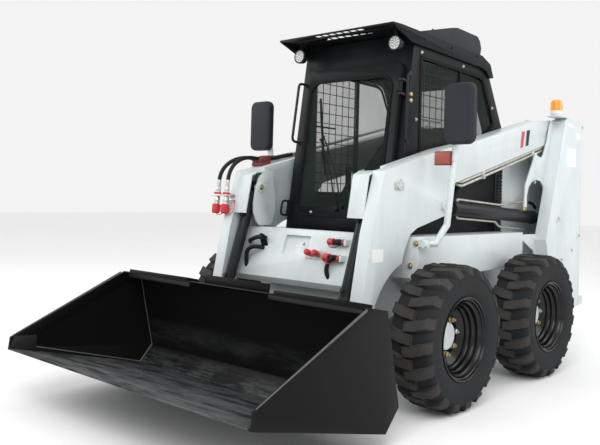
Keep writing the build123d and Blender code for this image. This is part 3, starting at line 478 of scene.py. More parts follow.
# Workpieces ----------------------------------------------------------------------------------------
class Stock:
    """A piece in the making, shaped with bmesh operators where it stands in the row frame."""

    def __init__(self) -> None:
        """Starts with nothing."""
        self.mesh = bmesh.new()

    def plate(self, outline: Sequence[SidePoint], x_from: float, x_to: float, ease: float = 0.0) -> "Stock":
        """Adds a plate drawn across the machine.

        Args:
            outline: side points in order round the plate.
            x_from: where one face lies.
            x_to: where the other face lies.
            ease: the width of its eased edges.

        Returns:
            The stock itself.
        """
        corners = [self.mesh.verts.new(at(x_from, *point)) for point in outline]
        return self.drawn(self.mesh.faces.new(corners), Vector((x_to - x_from, 0, 0)), ease)

    def _moved(self, geometry: Geometry, way: Vector) -> list[bmesh.types.BMVert]:
        """Moves the corners of newly grown geometry along a way and returns them."""
        verts = verts_in(geometry)
        bmesh.ops.translate(self.mesh, verts=verts, vec=way)
        return verts

    def drawn(self, face: bmesh.types.BMFace, way: Vector, ease: float = 0.0) -> "Stock":
        """Draws a loose face out into a closed plate, and eases its edges."""
        tops = self._moved(bmesh.ops.extrude_face_region(self.mesh, geom=[face])["geom"], way)
        shell = edges_of(tops) | (edges_of(face.verts) if face.is_valid else set())
        if ease:
            self.ease(shell, ease)
        return self

    def ease(self, edges: Iterable[bmesh.types.BMEdge], width: float, segments: int = 2) -> "Stock":
        """Rounds edges over a width."""
        bmesh.ops.bevel(self.mesh, geom=list(edges), offset=width, segments=segments, profile=0.5,
                        affect="EDGES", material=-1, clamp_overlap=True)
        return self

    def box(self, low: Vector, high: Vector, ease: float = 0.0, segments: int = 2) -> "Stock":
        """Adds a box between two corners, its edges eased."""
        size = [abs(end - start) for start, end in zip(low, high)]
        return self._block(Matrix.Translation((low + high) / 2) @ Matrix.Diagonal((*size, 1.0)), ease, segments)

    def _block(self, place: Matrix, ease: float, segments: int = 2) -> "Stock":
        """Adds a unit cube at a place, its edges eased."""
        made = bmesh.ops.create_cube(self.mesh, size=1.0, matrix=place)["verts"]
        if ease:
            self.ease(edges_of(made), ease, segments)
        return self

    def box_along(self, start: Vector, end: Vector, wide: float, deep: float, ease: float = 0.0015) -> "Stock":
        """Adds a flat bar between two points, wide across its way and deep towards the eye."""
        way = end - start
        size = Matrix.Diagonal((way.length, deep, wide, 1.0))
        return self._block(Matrix.Translation((start + end) / 2) @ turned_to(way) @ size, ease)

    def turned(self, profile: Sequence[tuple[float, float]], centre: Vector, way: Vector = ACROSS,
               steps: int = 32, closed: bool = False) -> "Stock":
        """Adds a turned shape.

        Args:
            profile: points as (distance along the axis, radius).
            centre: the axis's zero point.
            way: the axis's direction.
            steps: sides of the turned shape.
            closed: whether the profile is joined back to its first point.

        Returns:
            The stock itself.
        """
        return self._spun(profile, Matrix.Translation(centre) @ turned_to(way), steps, closed)

    def _spun(self, profile: Sequence[tuple[float, float]], place: Matrix, steps: int,
              closed: bool = False) -> "Stock":
        """Spins a profile once round the X axis and takes the shape to its place."""
        verts = [self.mesh.verts.new((along, 0.0, radius)) for along, radius in profile]
        pairs = list(zip(verts, verts[1:])) + ([(verts[-1], verts[0])] if closed else [])
        edges = [self.mesh.edges.new(pair) for pair in pairs]
        before = set(self.mesh.verts) - set(verts)
        bmesh.ops.spin(self.mesh, geom=verts + edges, cent=(0, 0, 0), axis=ACROSS, angle=2 * pi, steps=steps,
                       use_merge=True)
        made = [vert for vert in self.mesh.verts if vert not in before]
        bmesh.ops.transform(self.mesh, matrix=place, verts=made)
        bmesh.ops.remove_doubles(self.mesh, verts=made, dist=MERGE)
        return self

    def drum(self, centre: Vector, way: Vector, radius: float, length: float, ease: float = 0.001,
             steps: int = 32) -> "Stock":
        """Adds a round bar from a centre along a way, its ends eased."""
        profile = [(0.0, 0.0), (0.0, radius - ease), (ease, radius), (length - ease, radius),
                   (length, radius - ease), (length, 0.0)]
        return self.turned(profile, centre, way, steps)

    def hexagon(self, centre: Vector, way: Vector, across: float, height: float, turn: float = 0.0) -> "Stock":
        """Adds a bolt's head: six sides with a chamfered top."""
        corner, top = across * 0.577, across * 0.47
        profile = [(0.0, 0.0), (0.0, corner), (height * 0.8, corner), (height, top), (height, 0.0)]
        place = Matrix.Translation(centre) @ turned_to(way) @ Matrix.Rotation(turn, 4, "X")
        return self._spun(profile, place, 6)

    def pipe(self, route: Sequence[Vector], radius: float, bend: float, sides: int = 16,
             arc_steps: int = 6) -> "Stock":
        """Adds a round bar of straight runs and arcs.

        Args:
            route: the corners that it follows, with its two ends.
            radius: of its section.
            bend: the radius of its arcs, on its middle line.
            sides: of its section.
            arc_steps: steps in each arc.

        Returns:
            The stock itself.
        """
        first = (route[1] - route[0]).normalized()
        place = Matrix.Translation(route[0]) @ UP.rotation_difference(first).to_matrix().to_4x4()
        verts = bmesh.ops.create_circle(self.mesh, cap_ends=False, radius=radius, segments=sides,
                                        matrix=place)["verts"]
        edges = list(edges_of(verts))
        self.mesh.faces.new(verts)
        start = route[0]
        for before, corner, after in zip(route, route[1:], route[2:]):
            way_in = (corner - before).normalized()
            way_out = (after - corner).normalized()
            turn = way_in.angle(way_out)
            reach = bend * tan(turn / 2)
            edges = self._run(edges, corner - way_in * reach - start)
            inward = (way_out - way_in * way_in.dot(way_out)).normalized()
            middle = corner - way_in * reach + inward * bend
            swept = bmesh.ops.spin(self.mesh, geom=edges, cent=middle, axis=way_in.cross(inward), angle=turn,
                                   steps=arc_steps)["geom_last"]
            edges = [item for item in swept if isinstance(item, bmesh.types.BMEdge)]
            start = corner + way_out * reach
        edges = self._run(edges, route[-1] - start)
        bmesh.ops.edgeloop_fill(self.mesh, edges=edges)
        return self

    def _run(self, edges: list[bmesh.types.BMEdge], way: Vector) -> list[bmesh.types.BMEdge]:
        """Draws a ring of edges along a straight way and returns the ring at its far end."""
        if way.length < MERGE:
            return edges
        grown = bmesh.ops.extrude_edge_only(self.mesh, edges=edges)["geom"]
        self._moved(grown, way)
        old = {vert for edge in edges for vert in edge.verts}
        return [item for item in grown if isinstance(item, bmesh.types.BMEdge) and old.isdisjoint(item.verts)]

    def bolt(self, seat: Vector, way: Vector, across: float = 0.016) -> "Stock":
        """Adds a washer and a hexagon head that stand on a seat."""
        way = way.normalized()
        self.drum(seat, way, across * 0.78, 0.0025, 0.0006, 20)
        return self.hexagon(seat + way * 0.0022, way, across, across * 0.55, 0.3)

    def rounded(self, corners: Sequence[Vector], radius: float, segments: int = 6) -> bmesh.types.BMFace:
        """Adds a flat face whose corners are rounded."""
        before = set(self.mesh.faces)
        face = self.mesh.faces.new([self.mesh.verts.new(corner) for corner in corners])
        if radius:
            bmesh.ops.bevel(self.mesh, geom=list(face.verts), offset=radius, segments=segments, profile=0.5,
                            affect="VERTICES", material=-1, clamp_overlap=True)
        return next(made for made in self.mesh.faces if made not in before)

    def band(self, corners: Sequence[Vector], radius: float, width: float, way: Vector) -> "Stock":
        """Adds a flat ring inside a rounded outline.

        Args:
            corners: of its outer edge.
            radius: of its rounded corners.
            width: of the ring.
            way: how it is drawn out to its thickness.

        Returns:
            The stock itself.
        """
        inner = self.rounded(corners, radius)
        ring = bmesh.ops.inset_region(self.mesh, faces=[inner], thickness=width, use_boundary=True,
                                      use_even_offset=True)["faces"]
        bmesh.ops.delete(self.mesh, geom=[inner], context="FACES_ONLY")
        self._moved(bmesh.ops.extrude_face_region(self.mesh, geom=ring)["geom"], way)
        return self

    def slab(self, corners: Sequence[Vector], radius: float, way: Vector, ease: float = 0.0) -> "Stock":
        """Adds a plate with rounded corners, drawn along a way."""
        return self.drawn(self.rounded(corners, radius), way, ease)

    def both_sides(self) -> "Stock":
        """Adds the same shape mirrored to the machine's other side."""
        copied = bmesh.ops.duplicate(self.mesh, geom=[*self.mesh.verts, *self.mesh.edges, *self.mesh.faces])["geom"]
        bmesh.ops.scale(self.mesh, vec=(-1, 1, 1), verts=verts_in(copied))
        return self

    def become(self, name: str, finish: bpy.types.Material, body: str, slot: str | None = None,
               replaces: Sequence[str] = (), sharp: float = 32.0) -> bpy.types.Object:
        """Turns the stock into a finished piece.

        Args:
            name: the piece's name.
            finish: its material.
            body: the CAD body that it rides on.
            slot: the record's material slot, if one is its own; not used.
            replaces: the CAD nodes that it stands for.
            sharp: the angle, in degrees, over which an edge stays sharp.

        Returns:
            The piece.
        """
        bmesh.ops.recalc_face_normals(self.mesh, faces=self.mesh.faces)
        data = bpy.data.meshes.new(name)
        self.mesh.to_mesh(data)
        self.mesh.free()
        return settle(name, data, [finish], body, slot, replaces, sharp)


def settle(name: str, data: bpy.types.Mesh, finishes: Sequence[bpy.types.Material], body: str,
           slot: str | None = None, replaces: Sequence[str] = (), sharp: float = 32.0) -> bpy.types.Object:
    """Links a mesh as a piece, dresses it and makes it ride on its body."""
    piece = bpy.data.objects.new(name, data)
    bpy.context.scene.collection.objects.link(piece)
    for finish in finishes:
        data.materials.append(finish)
    data.shade_smooth()
    data.set_sharp_from_angle(angle=radians(sharp))
    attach(piece, body)
    if replaces:
        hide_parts(*replaces)
    LOG.info("%s: %d faces on %s", name, len(data.polygons), body)
    return piece


def body_of_node(node: str) -> str:
    """The body that carries a CAD node."""
    return frame["nodes"][node]["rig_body"]


def slot_of_node(node: str) -> str:
    """The record's material slot of a CAD node."""
    return next(part["material_slot"] for part in frame["record"]["subparts"] if part["node"] == node)


def hose(name: str, finish: bpy.types.Material, body: str, route: Sequence[Vector], radius: float) -> None:
    """Makes a hose that is held at both ends, on one smooth line.

    Args:
        name: the piece's name.
        finish: its material.
        body: the CAD body that carries both its ends.
        route: the control points of its line.
        radius: of the hose.
    """
    curve = bpy.data.curves.new(name, "CURVE")
    curve.dimensions, curve.bevel_depth, curve.bevel_resolution = "3D", radius, 4
    curve.use_fill_caps, curve.resolution_u = True, 8
    spline = curve.splines.new("NURBS")
    spline.points.add(len(route) - 1)
    for point, place in zip(spline.points, route):
        point.co = (*place, 1.0)
    spline.order_u, spline.use_endpoint_u = min(4, len(route)), True
    holder = bpy.data.objects.new(name + "_line", curve)
    data = bpy.data.meshes.new_from_object(holder)
    data.name = name
    data.materials.clear()
    bpy.data.objects.remove(holder)
    settle(name, data, [finish], body)


def eased_copy(node: str, finish: bpy.types.Material, width: float = 0.003,
               change: Callable[[bmesh.types.BMesh], None] | None = None) -> bpy.types.Object:
    """A CAD node's shape with its sharp edges rounded, standing for the node.

    Args:
        node: the CAD node.
        finish: the material.
        width: of the rounded edges.
        change: what else is done to the merged shape first.

    Returns:
        The piece.
    """
    mesh = bmesh.new()
    mesh.from_mesh(frame["nodes"][node].data)
    bmesh.ops.remove_doubles(mesh, verts=mesh.verts, dist=CAD_MERGE)
    if change:
        change(mesh)
    bmesh.ops.dissolve_limit(mesh, angle_limit=FLAT, verts=mesh.verts, edges=mesh.edges)
    sharp = [edge for edge in mesh.edges if len(edge.link_faces) == 2 and edge.calc_face_angle(0.0) > CREASE
             and edge.calc_length() > width]
    bmesh.ops.bevel(mesh, geom=sharp, offset=width, segments=2, profile=0.5, affect="EDGES", material=-1,
                    clamp_overlap=True)
    data = bpy.data.meshes.new(node + "_skin")
    mesh.to_mesh(data)
    mesh.free()
    return settle(node + "_skin", data, [finish], body_of_node(node), slot_of_node(node), [node], 30.0)


def cut_off(mesh: bmesh.types.BMesh, verts: list[bmesh.types.BMVert]) -> None:
    """Takes corners off a mesh and closes the places where they stood."""
    bmesh.ops.delete(mesh, geom=verts, context="VERTS")
    bmesh.ops.holes_fill(mesh, edges=[edge for edge in mesh.edges if edge.is_boundary], sides=12)


def dress_node(node: str, finish: bpy.types.Material) -> None:
    """Gives a CAD node that stays in view its finish."""
    data = frame["nodes"][node].data
    data.materials.clear()
    data.materials.append(finish)
    LOG.info("%s: %d faces on %s, as in the CAD", node, len(data.polygons), body_of_node(node))


# Wheels --------------------------------------------------------------------------------------------
class Corner(Enum):
    """The machine's four wheels, by the names in the record."""

    FRONT_LEFT = "front_left"
    FRONT_RIGHT = "front_right"
    REAR_LEFT = "rear_left"
    REAR_RIGHT = "rear_right"


@dataclass
class Wheel:
    """One wheel: a lugged tyre on a deep, stepped rim with its hub and nuts."""

    corner: Corner
    finishes: Finishes
    radius: float = 0.3865
    lug_rows: int = 19
    lug_steps: int = 9
    lug_start: float = radians(174.1)
    lug_wave: float = 0.004
    lug_half: float = 0.0240
    lug_flare: float = 0.0060
    lug_foot_flare: float = 0.007
    lug_edge: float = 0.0022
    nut_count: int = 8
    nut_circle: float = 0.1015
    centre: Vector = field(init=False)
    outward: float = field(init=False)

    # The lug's top and foot over the tyre's section, from past the middle to the side wall: (across, radius).
    LUG_TOP = ((-0.020, 0.3862), (0.045, 0.3862), (0.088, 0.3845), (0.112, 0.3770), (0.1265, 0.3600),
               (0.1320, 0.3370))
    LUG_FOOT = ((-0.026, 0.3620), (0.045, 0.3600), (0.088, 0.3560), (0.106, 0.3520), (0.1180, 0.3460),
                (0.1240, 0.3300))
    # How far round the tread the lug's middle line has swept at each of those places.
    LUG_SWEEP = (-0.024, -0.018, -0.002, 0.010, 0.015, 0.018)
    # The casing from the bead to the middle of the tread, and the whole rim: (across, radius).
    CASING = ((0.104, 0.2225), (0.112, 0.2235), (0.121, 0.238), (0.1235, 0.244), (0.128, 0.262), (0.1305, 0.290),
              (0.1300, 0.315), (0.1275, 0.330), (0.1290, 0.334), (0.1265, 0.340), (0.1180, 0.350),
              (0.1000, 0.3575), (0.0600, 0.3625), (0.0, 0.3635))
    BARREL = ((0.118, 0.222), (0.119, 0.2175), (0.117, 0.2135), (0.108, 0.2105), (0.104, 0.2040), (0.092, 0.2010),
              (0.086, 0.1960), (0.080, 0.1895), (0.062, 0.1870), (0.056, 0.1830), (0.050, 0.1765), (0.034, 0.1745),
              (0.028, 0.1705), (0.022, 0.1630), (0.010, 0.1600), (0.004, 0.1540), (-0.002, 0.1440),
              (-0.010, 0.1340), (-0.016, 0.1240), (-0.016, 0.0790), (-0.020, 0.0765), (-0.028, 0.0760),
              (-0.028, 0.1500), (-0.060, 0.1900), (-0.104, 0.2000), (-0.110, 0.2060), (-0.118, 0.2110),
              (-0.118, 0.2215), (-0.108, 0.2220), (-0.100, 0.2130), (0.100, 0.2130), (0.108, 0.2220))

    def __post_init__(self) -> None:
        """Takes the wheel's place from its joint."""
        self.centre = Vector(JOINTS[self.corner.value + "_wheel_spin"]["pos_m"])
        self.outward = 1.0 if self.centre.x > 0 else -1.0

    def _lug(self, stock: Stock) -> list[bmesh.types.BMVert]:
        """Shapes one lug of the outer half from a divided block."""
        before = set(stock.mesh.verts)
        made = bmesh.ops.create_cube(stock.mesh, size=1.0)["verts"]
        long_edges = {edge for edge in edges_of(made) if abs(edge.verts[0].co.x - edge.verts[1].co.x) > 0.5}
        bmesh.ops.subdivide_edges(stock.mesh, edges=list(long_edges), cuts=self.lug_steps, use_grid_fill=True)
        verts = [vert for vert in stock.mesh.verts if vert not in before]
        last = len(self.LUG_TOP) - 1
        for vert in verts:
            share = (vert.co.x + 0.5) * last
            index = min(int(share), last - 1)
            part = share - index
            line = self.LUG_TOP if vert.co.z > 0 else self.LUG_FOOT
            across, radius = (between(column, index, part) for column in zip(*line))
            sweep = between(self.LUG_SWEEP, index, part)
            wave = self.lug_wave * sin((vert.co.x + 0.5) * 2 * pi)
            half = self.lug_half + self.lug_flare * share / last + (0.0 if vert.co.z > 0 else self.lug_foot_flare)
            round_way = self.lug_start + (sweep + wave + vert.co.y * 2 * half) / self.radius
            vert.co = (across, radius * sin(round_way), radius * cos(round_way))
        crown = [edge for edge in stock.mesh.edges if edge.verts[0] in set(verts) and edge.is_manifold
                 and edge.calc_face_angle(0.0) > radians(35)]
        stock.ease(crown, self.lug_edge)
        return [vert for vert in stock.mesh.verts if vert not in before]

    def _tread(self) -> Stock:
        """Lugs all round both halves, the inner half's set between the outer's."""
        stock = Stock()
        pitch = 2 * pi / self.lug_rows
        faces = {face for vert in self._lug(stock) for face in vert.link_faces}
        inner = verts_in(bmesh.ops.duplicate(stock.mesh, geom=list(faces))["geom"])
        bmesh.ops.scale(stock.mesh, vec=(-1, 1, 1), verts=inner)
        bmesh.ops.rotate(stock.mesh, cent=(0, 0, 0), matrix=Matrix.Rotation(pitch / 2, 3, "X"), verts=inner)
        bmesh.ops.spin(stock.mesh, geom=[*stock.mesh.verts, *stock.mesh.edges, *stock.mesh.faces], cent=(0, 0, 0),
                       axis=ACROSS, angle=2 * pi - pitch, steps=self.lug_rows - 1, use_duplicate=True)
        return stock

    def _placed(self, stock: Stock) -> Stock:
        """Moves a stock made about the origin to the wheel, its outer side outwards."""
        handed = Matrix.Diagonal((self.outward, 1.0, 1.0, 1.0))
        bmesh.ops.transform(stock.mesh, matrix=Matrix.Translation(self.centre) @ handed, verts=stock.mesh.verts)
        return stock

    def build(self) -> None:
        """Makes the tyre's tread and casing, the rim, the hub and the nuts."""
        corner, look, middle = self.corner.value, self.finishes, Vector((0, 0, 0))
        body = "wheel_" + corner
        ring = [*self.CASING, *((-across, radius) for across, radius in reversed(self.CASING[:-1]))]
        side = Stock().turned(ring, middle, steps=112, closed=True)
        self._placed(side).become("tyre_casing_" + corner, look.side_wall, body, "tyre_rubber", ["tyre_" + corner],
                                  40.0)
        self._placed(self._tread()).become("tyre_lugs_" + corner, look.tread, body, "tyre_rubber", sharp=38.0)
        rim = Stock().turned(self.BARREL, middle, steps=96, closed=True)
        self._placed(rim).become("rim_dish_" + corner, look.rim, body, "rim_paint", ["rim_" + corner], 28.0)
        hub = Stock().turned([(-0.080, 0.0), (-0.080, 0.0745), (0.000, 0.0745), (0.004, 0.0715), (0.0045, 0.0)],
                             middle, steps=64)
        self._placed(hub).become("hub_end_" + corner, look.white, body, sharp=30.0)
        gold, silver = Stock(), Stock()
        for index in range(self.nut_count):
            turn = 2 * pi * index / self.nut_count - radians(6.0)
            spot = Vector((-0.016, self.nut_circle * sin(turn), self.nut_circle * cos(turn)))
            nuts = silver if index % 4 == 2 else gold
            nuts.turned([(0.0, 0.0), (0.0, 0.0185), (0.004, 0.0165), (0.006, 0.014)], spot, steps=20)
            nuts.hexagon(spot + Vector((0.004, 0, 0)), ACROSS, 0.027, 0.017, turn)
            nuts.drum(spot + Vector((0.020, 0, 0)), ACROSS, 0.0075, 0.010, 0.001, 12)
        self._placed(gold).become("wheel_nuts_" + corner, look.gold, body)
        self._placed(silver).become("bright_nuts_" + corner, look.silver, body)
        valve = Stock().pipe([Vector((-0.010, 0, 0.176)), Vector((0.020, 0, 0.172)), Vector((0.046, 0, 0.166))],
                             0.0035, 0.02, 10)
        valve.drum(Vector((0.044, 0, 0.1664)), Vector((1, 0, -0.2)), 0.0052, 0.013, 0.001, 12)
        self._placed(valve).become("tyre_valve_" + corner, look.black_plastic, body)


# Plain skins of the CAD pieces ---------------------------------------------------------------------
class Side(Enum):
    """The machine's two sides, by the sign of X."""

    LEFT = 1
    RIGHT = -1


class Kind(Enum):
    """The two pairs of hydraulic cylinders, by the names in the record."""

    LIFT = "lift"
    TILT = "tilt"


@dataclass
class Skins:
    """The CAD pieces whose shape is already right: each gets rounded edges and its own finish."""

    finishes: Finishes
    edge: float = 0.003
    barrel_edge: float = 0.002
    # Where the plain coupler bars stand on the right arm: outside, between two heights and ahead of a line.
    bars_side: float = -0.5915
    bars_foot: float = 0.98
    bars_head: float = 1.16
    bars_line: float = -0.27

    def _without_couplers(self, mesh: bmesh.types.BMesh) -> None:
        """Takes the plain coupler bars off a copy of the right arm, where fuller ones stand in for them."""
        cut_off(mesh, [vert for vert in mesh.verts if vert.co.x < self.bars_side
                       and self.bars_foot < vert.co.z < self.bars_head
                       and vert.co.y - FRONT_AXLE_Y < self.bars_line])

    def build(self) -> None:
        """Dresses each CAD node with its finish from a table."""
        look = self.finishes
        table = {"main_frame": look.white, "left_tower": look.white, "right_tower": look.white,
                 "left_arm": look.white, "right_arm": look.white, "arm_cross_member": look.white,
                 "tailgate": look.white, "rear_hood": look.black, "cab_frame": look.cab,
                 "roof_unit": look.dark_plastic, "bucket": look.bucket, "quick_attach": look.black,
                 "mirror_posts": look.white, "engine_block": look.cast, "axle_housings": look.grey,
                 "door_hinges": look.black, "gate_hinges": look.black, "control_levers": look.black_plastic}
        for node, finish in table.items():
            eased_copy(node, finish, self.edge, self._without_couplers if node == "right_arm" else None)
        for kind in Kind:
            for side in Side:
                eased_copy(f"{kind.value}_barrel_{side.name.lower()}", look.black, self.barrel_edge)
                dress_node(f"{kind.value}_rod_{side.name.lower()}", look.chrome)
        dress_node("cab_windows", look.side_glass)
        dress_node("door_glass", look.front_glass)


# Cab -----------------------------------------------------------------------------------------------
@dataclass(frozen=True)
class LeaningFace:
    """The door's outer face, which leans back: points by x, distance up from the sill and distance out."""

    foot: float = -0.035
    sill: float = 0.925
    lean: float = radians(8.0)

    def at(self, x: float, up: float, out: float = 0.0) -> Vector:
        """A point on or off the face."""
        return at(x, self.foot + up * sin(self.lean) - out * cos(self.lean),
                  self.sill + up * cos(self.lean) + out * sin(self.lean))

    def oblong(self, left: float, foot: float, right: float, head: float, out: float = 0.0) -> list[Vector]:
        """The four corners of an oblong on or off the face."""
        return [self.at(x, up, out) for x, up in oblong(left, foot, right, head)]

    @property
    def outward(self) -> Vector:
        """The way out of the face."""
        return Vector((0, -cos(self.lean), sin(self.lean)))

    @property
    def upward(self) -> Vector:
        """The way up the face."""
        return Vector((0, sin(self.lean), cos(self.lean)))


@dataclass
class Door:
    """The glazed front door with its seal, grab bar, latch loop and wiper."""

    finishes: Finishes
    face: LeaningFace = LeaningFace()
    half: float = 0.392
    height: float = 1.015
    rail: float = 0.060
    rail_end: float = 0.075
    corner: float = 0.090
    bar_x: float = -0.376
    bar_reach: float = 0.060
    bar_foot: float = 0.543
    bar_head: float = 0.928

    def _without_bar(self, mesh: bmesh.types.BMesh) -> None:
        """Takes the grab bar off a copy of the door and closes its feet's places."""
        start, out = self.face.at(0.0, 0.0), self.face.outward
        cut_off(mesh, [vert for vert in mesh.verts if (vert.co - start).dot(out) > 0.004
                       and vert.co.x < self.bar_x + 0.03 and (vert.co - start).dot(self.face.upward) > 0.45])

    def _pane(self, grow: float) -> list[Vector]:
        """The glass opening's corners, made larger by a distance."""
        wide, low, high = self.half - self.rail + grow, self.rail_end - grow, self.height - self.rail_end + grow
        return self.face.oblong(-wide, low, wide, high)

    def frame(self) -> None:
        """Dresses the frame and sets the glass in its rubber."""
        look, face = self.finishes, self.face
        eased_copy("front_door", look.cab, 0.004, self._without_bar)
        seal = Stock().band(self._pane(0.006), self.corner, 0.020, face.outward * 0.004)
        seal.become("door_seal", look.seal, "front_door")
        wide = self.half + 0.006
        edge = Stock().band(face.oblong(-wide, -0.004, wide, self.height + 0.004, -0.004), 0.064, 0.012,
                            -face.outward * 0.016)
        edge.become("door_edge_rubber", look.seal, "front_door")
        rail = Stock().slab(face.oblong(-0.324, 0.060, 0.324, 0.128, -0.010), 0.020, face.outward * 0.006, 0.001)
        rail.become("door_kick_rail", look.cab, "front_door")
        bolts = Stock()
        for x in (-0.20, 0.20):
            bolts.bolt(face.at(x, 0.094, -0.004), face.outward, 0.012)
        bolts.become("door_rail_bolts", look.silver, "front_door")

    def handles(self) -> None:
        """Makes the grab bar and the latch loop."""
        look, face = self.finishes, self.face
        ends = ((self.bar_x, -0.001), (self.bar_x - 0.006, self.bar_reach))
        corners = [face.at(x, self.bar_foot, out) for x, out in ends]
        corners += [face.at(x, self.bar_head, out) for x, out in reversed(ends)]
        bar = Stock().pipe(corners, 0.0085, 0.026, 16)
        for up in (self.bar_foot, self.bar_head):
            bar.drum(face.at(self.bar_x, up), face.outward, 0.016, 0.005, 0.001, 24)
        bar.become("door_grab_bar", look.black, "front_door")
        loop = Stock().pipe([face.at(-0.376, 0.150, 0.020), face.at(-0.396, 0.160, 0.062),
                             face.at(-0.398, 0.062, 0.064), face.at(-0.376, 0.066, 0.020)], 0.0070, 0.018, 12)
        loop.become("door_latch_loop", look.black_plastic, "front_door")
        lock = Stock().slab(face.oblong(-0.388, 0.056, -0.364, 0.164, 0.0235), 0.006, face.outward * 0.004, 0.0012)
        lock.drum(face.at(-0.376, 0.110, 0.027), face.outward, 0.009, 0.004, 0.001, 20)
        lock.become("door_lock_plate", look.black_plastic, "front_door")

    def wiper(self) -> None:
        """Makes the wiper's motor cover, its two arms and its blade."""
        look, face = self.finishes, self.face
        out = 0.006
        arms = Stock()
        arms.drum(face.at(0.010, 0.120, -0.006), face.outward, 0.016, 0.024, 0.003, 24)
        arms.drum(face.at(0.052, 0.136, -0.006), face.outward, 0.012, 0.022, 0.003, 20)
        for foot, knee, end in (((0.010, 0.120), (-0.060, 0.330), (-0.185, 0.560)),
                                ((0.052, 0.136), (-0.022, 0.345), (-0.160, 0.575))):
            arms.pipe([face.at(*foot, out + 0.006), face.at(*knee, out + 0.004), face.at(*end, out)], 0.0045, 0.10, 8)
        arms.box_along(face.at(-0.190, 0.552, out), face.at(-0.152, 0.580, out), 0.010, 0.006)
        arms.become("wiper_arms", look.black_plastic, "front_door")
        blade = Stock()
        blade.box_along(face.at(-0.120, 0.330, -0.002), face.at(-0.235, 0.830, -0.002), 0.012, 0.010)
        blade.box_along(face.at(-0.140, 0.420, out), face.at(-0.214, 0.740, out), 0.006, 0.008)
        blade.become("wiper_blade", look.black_plastic, "front_door")

    def build(self) -> None:
        """Makes the whole door."""
        self.frame()
        self.handles()
        self.wiper()


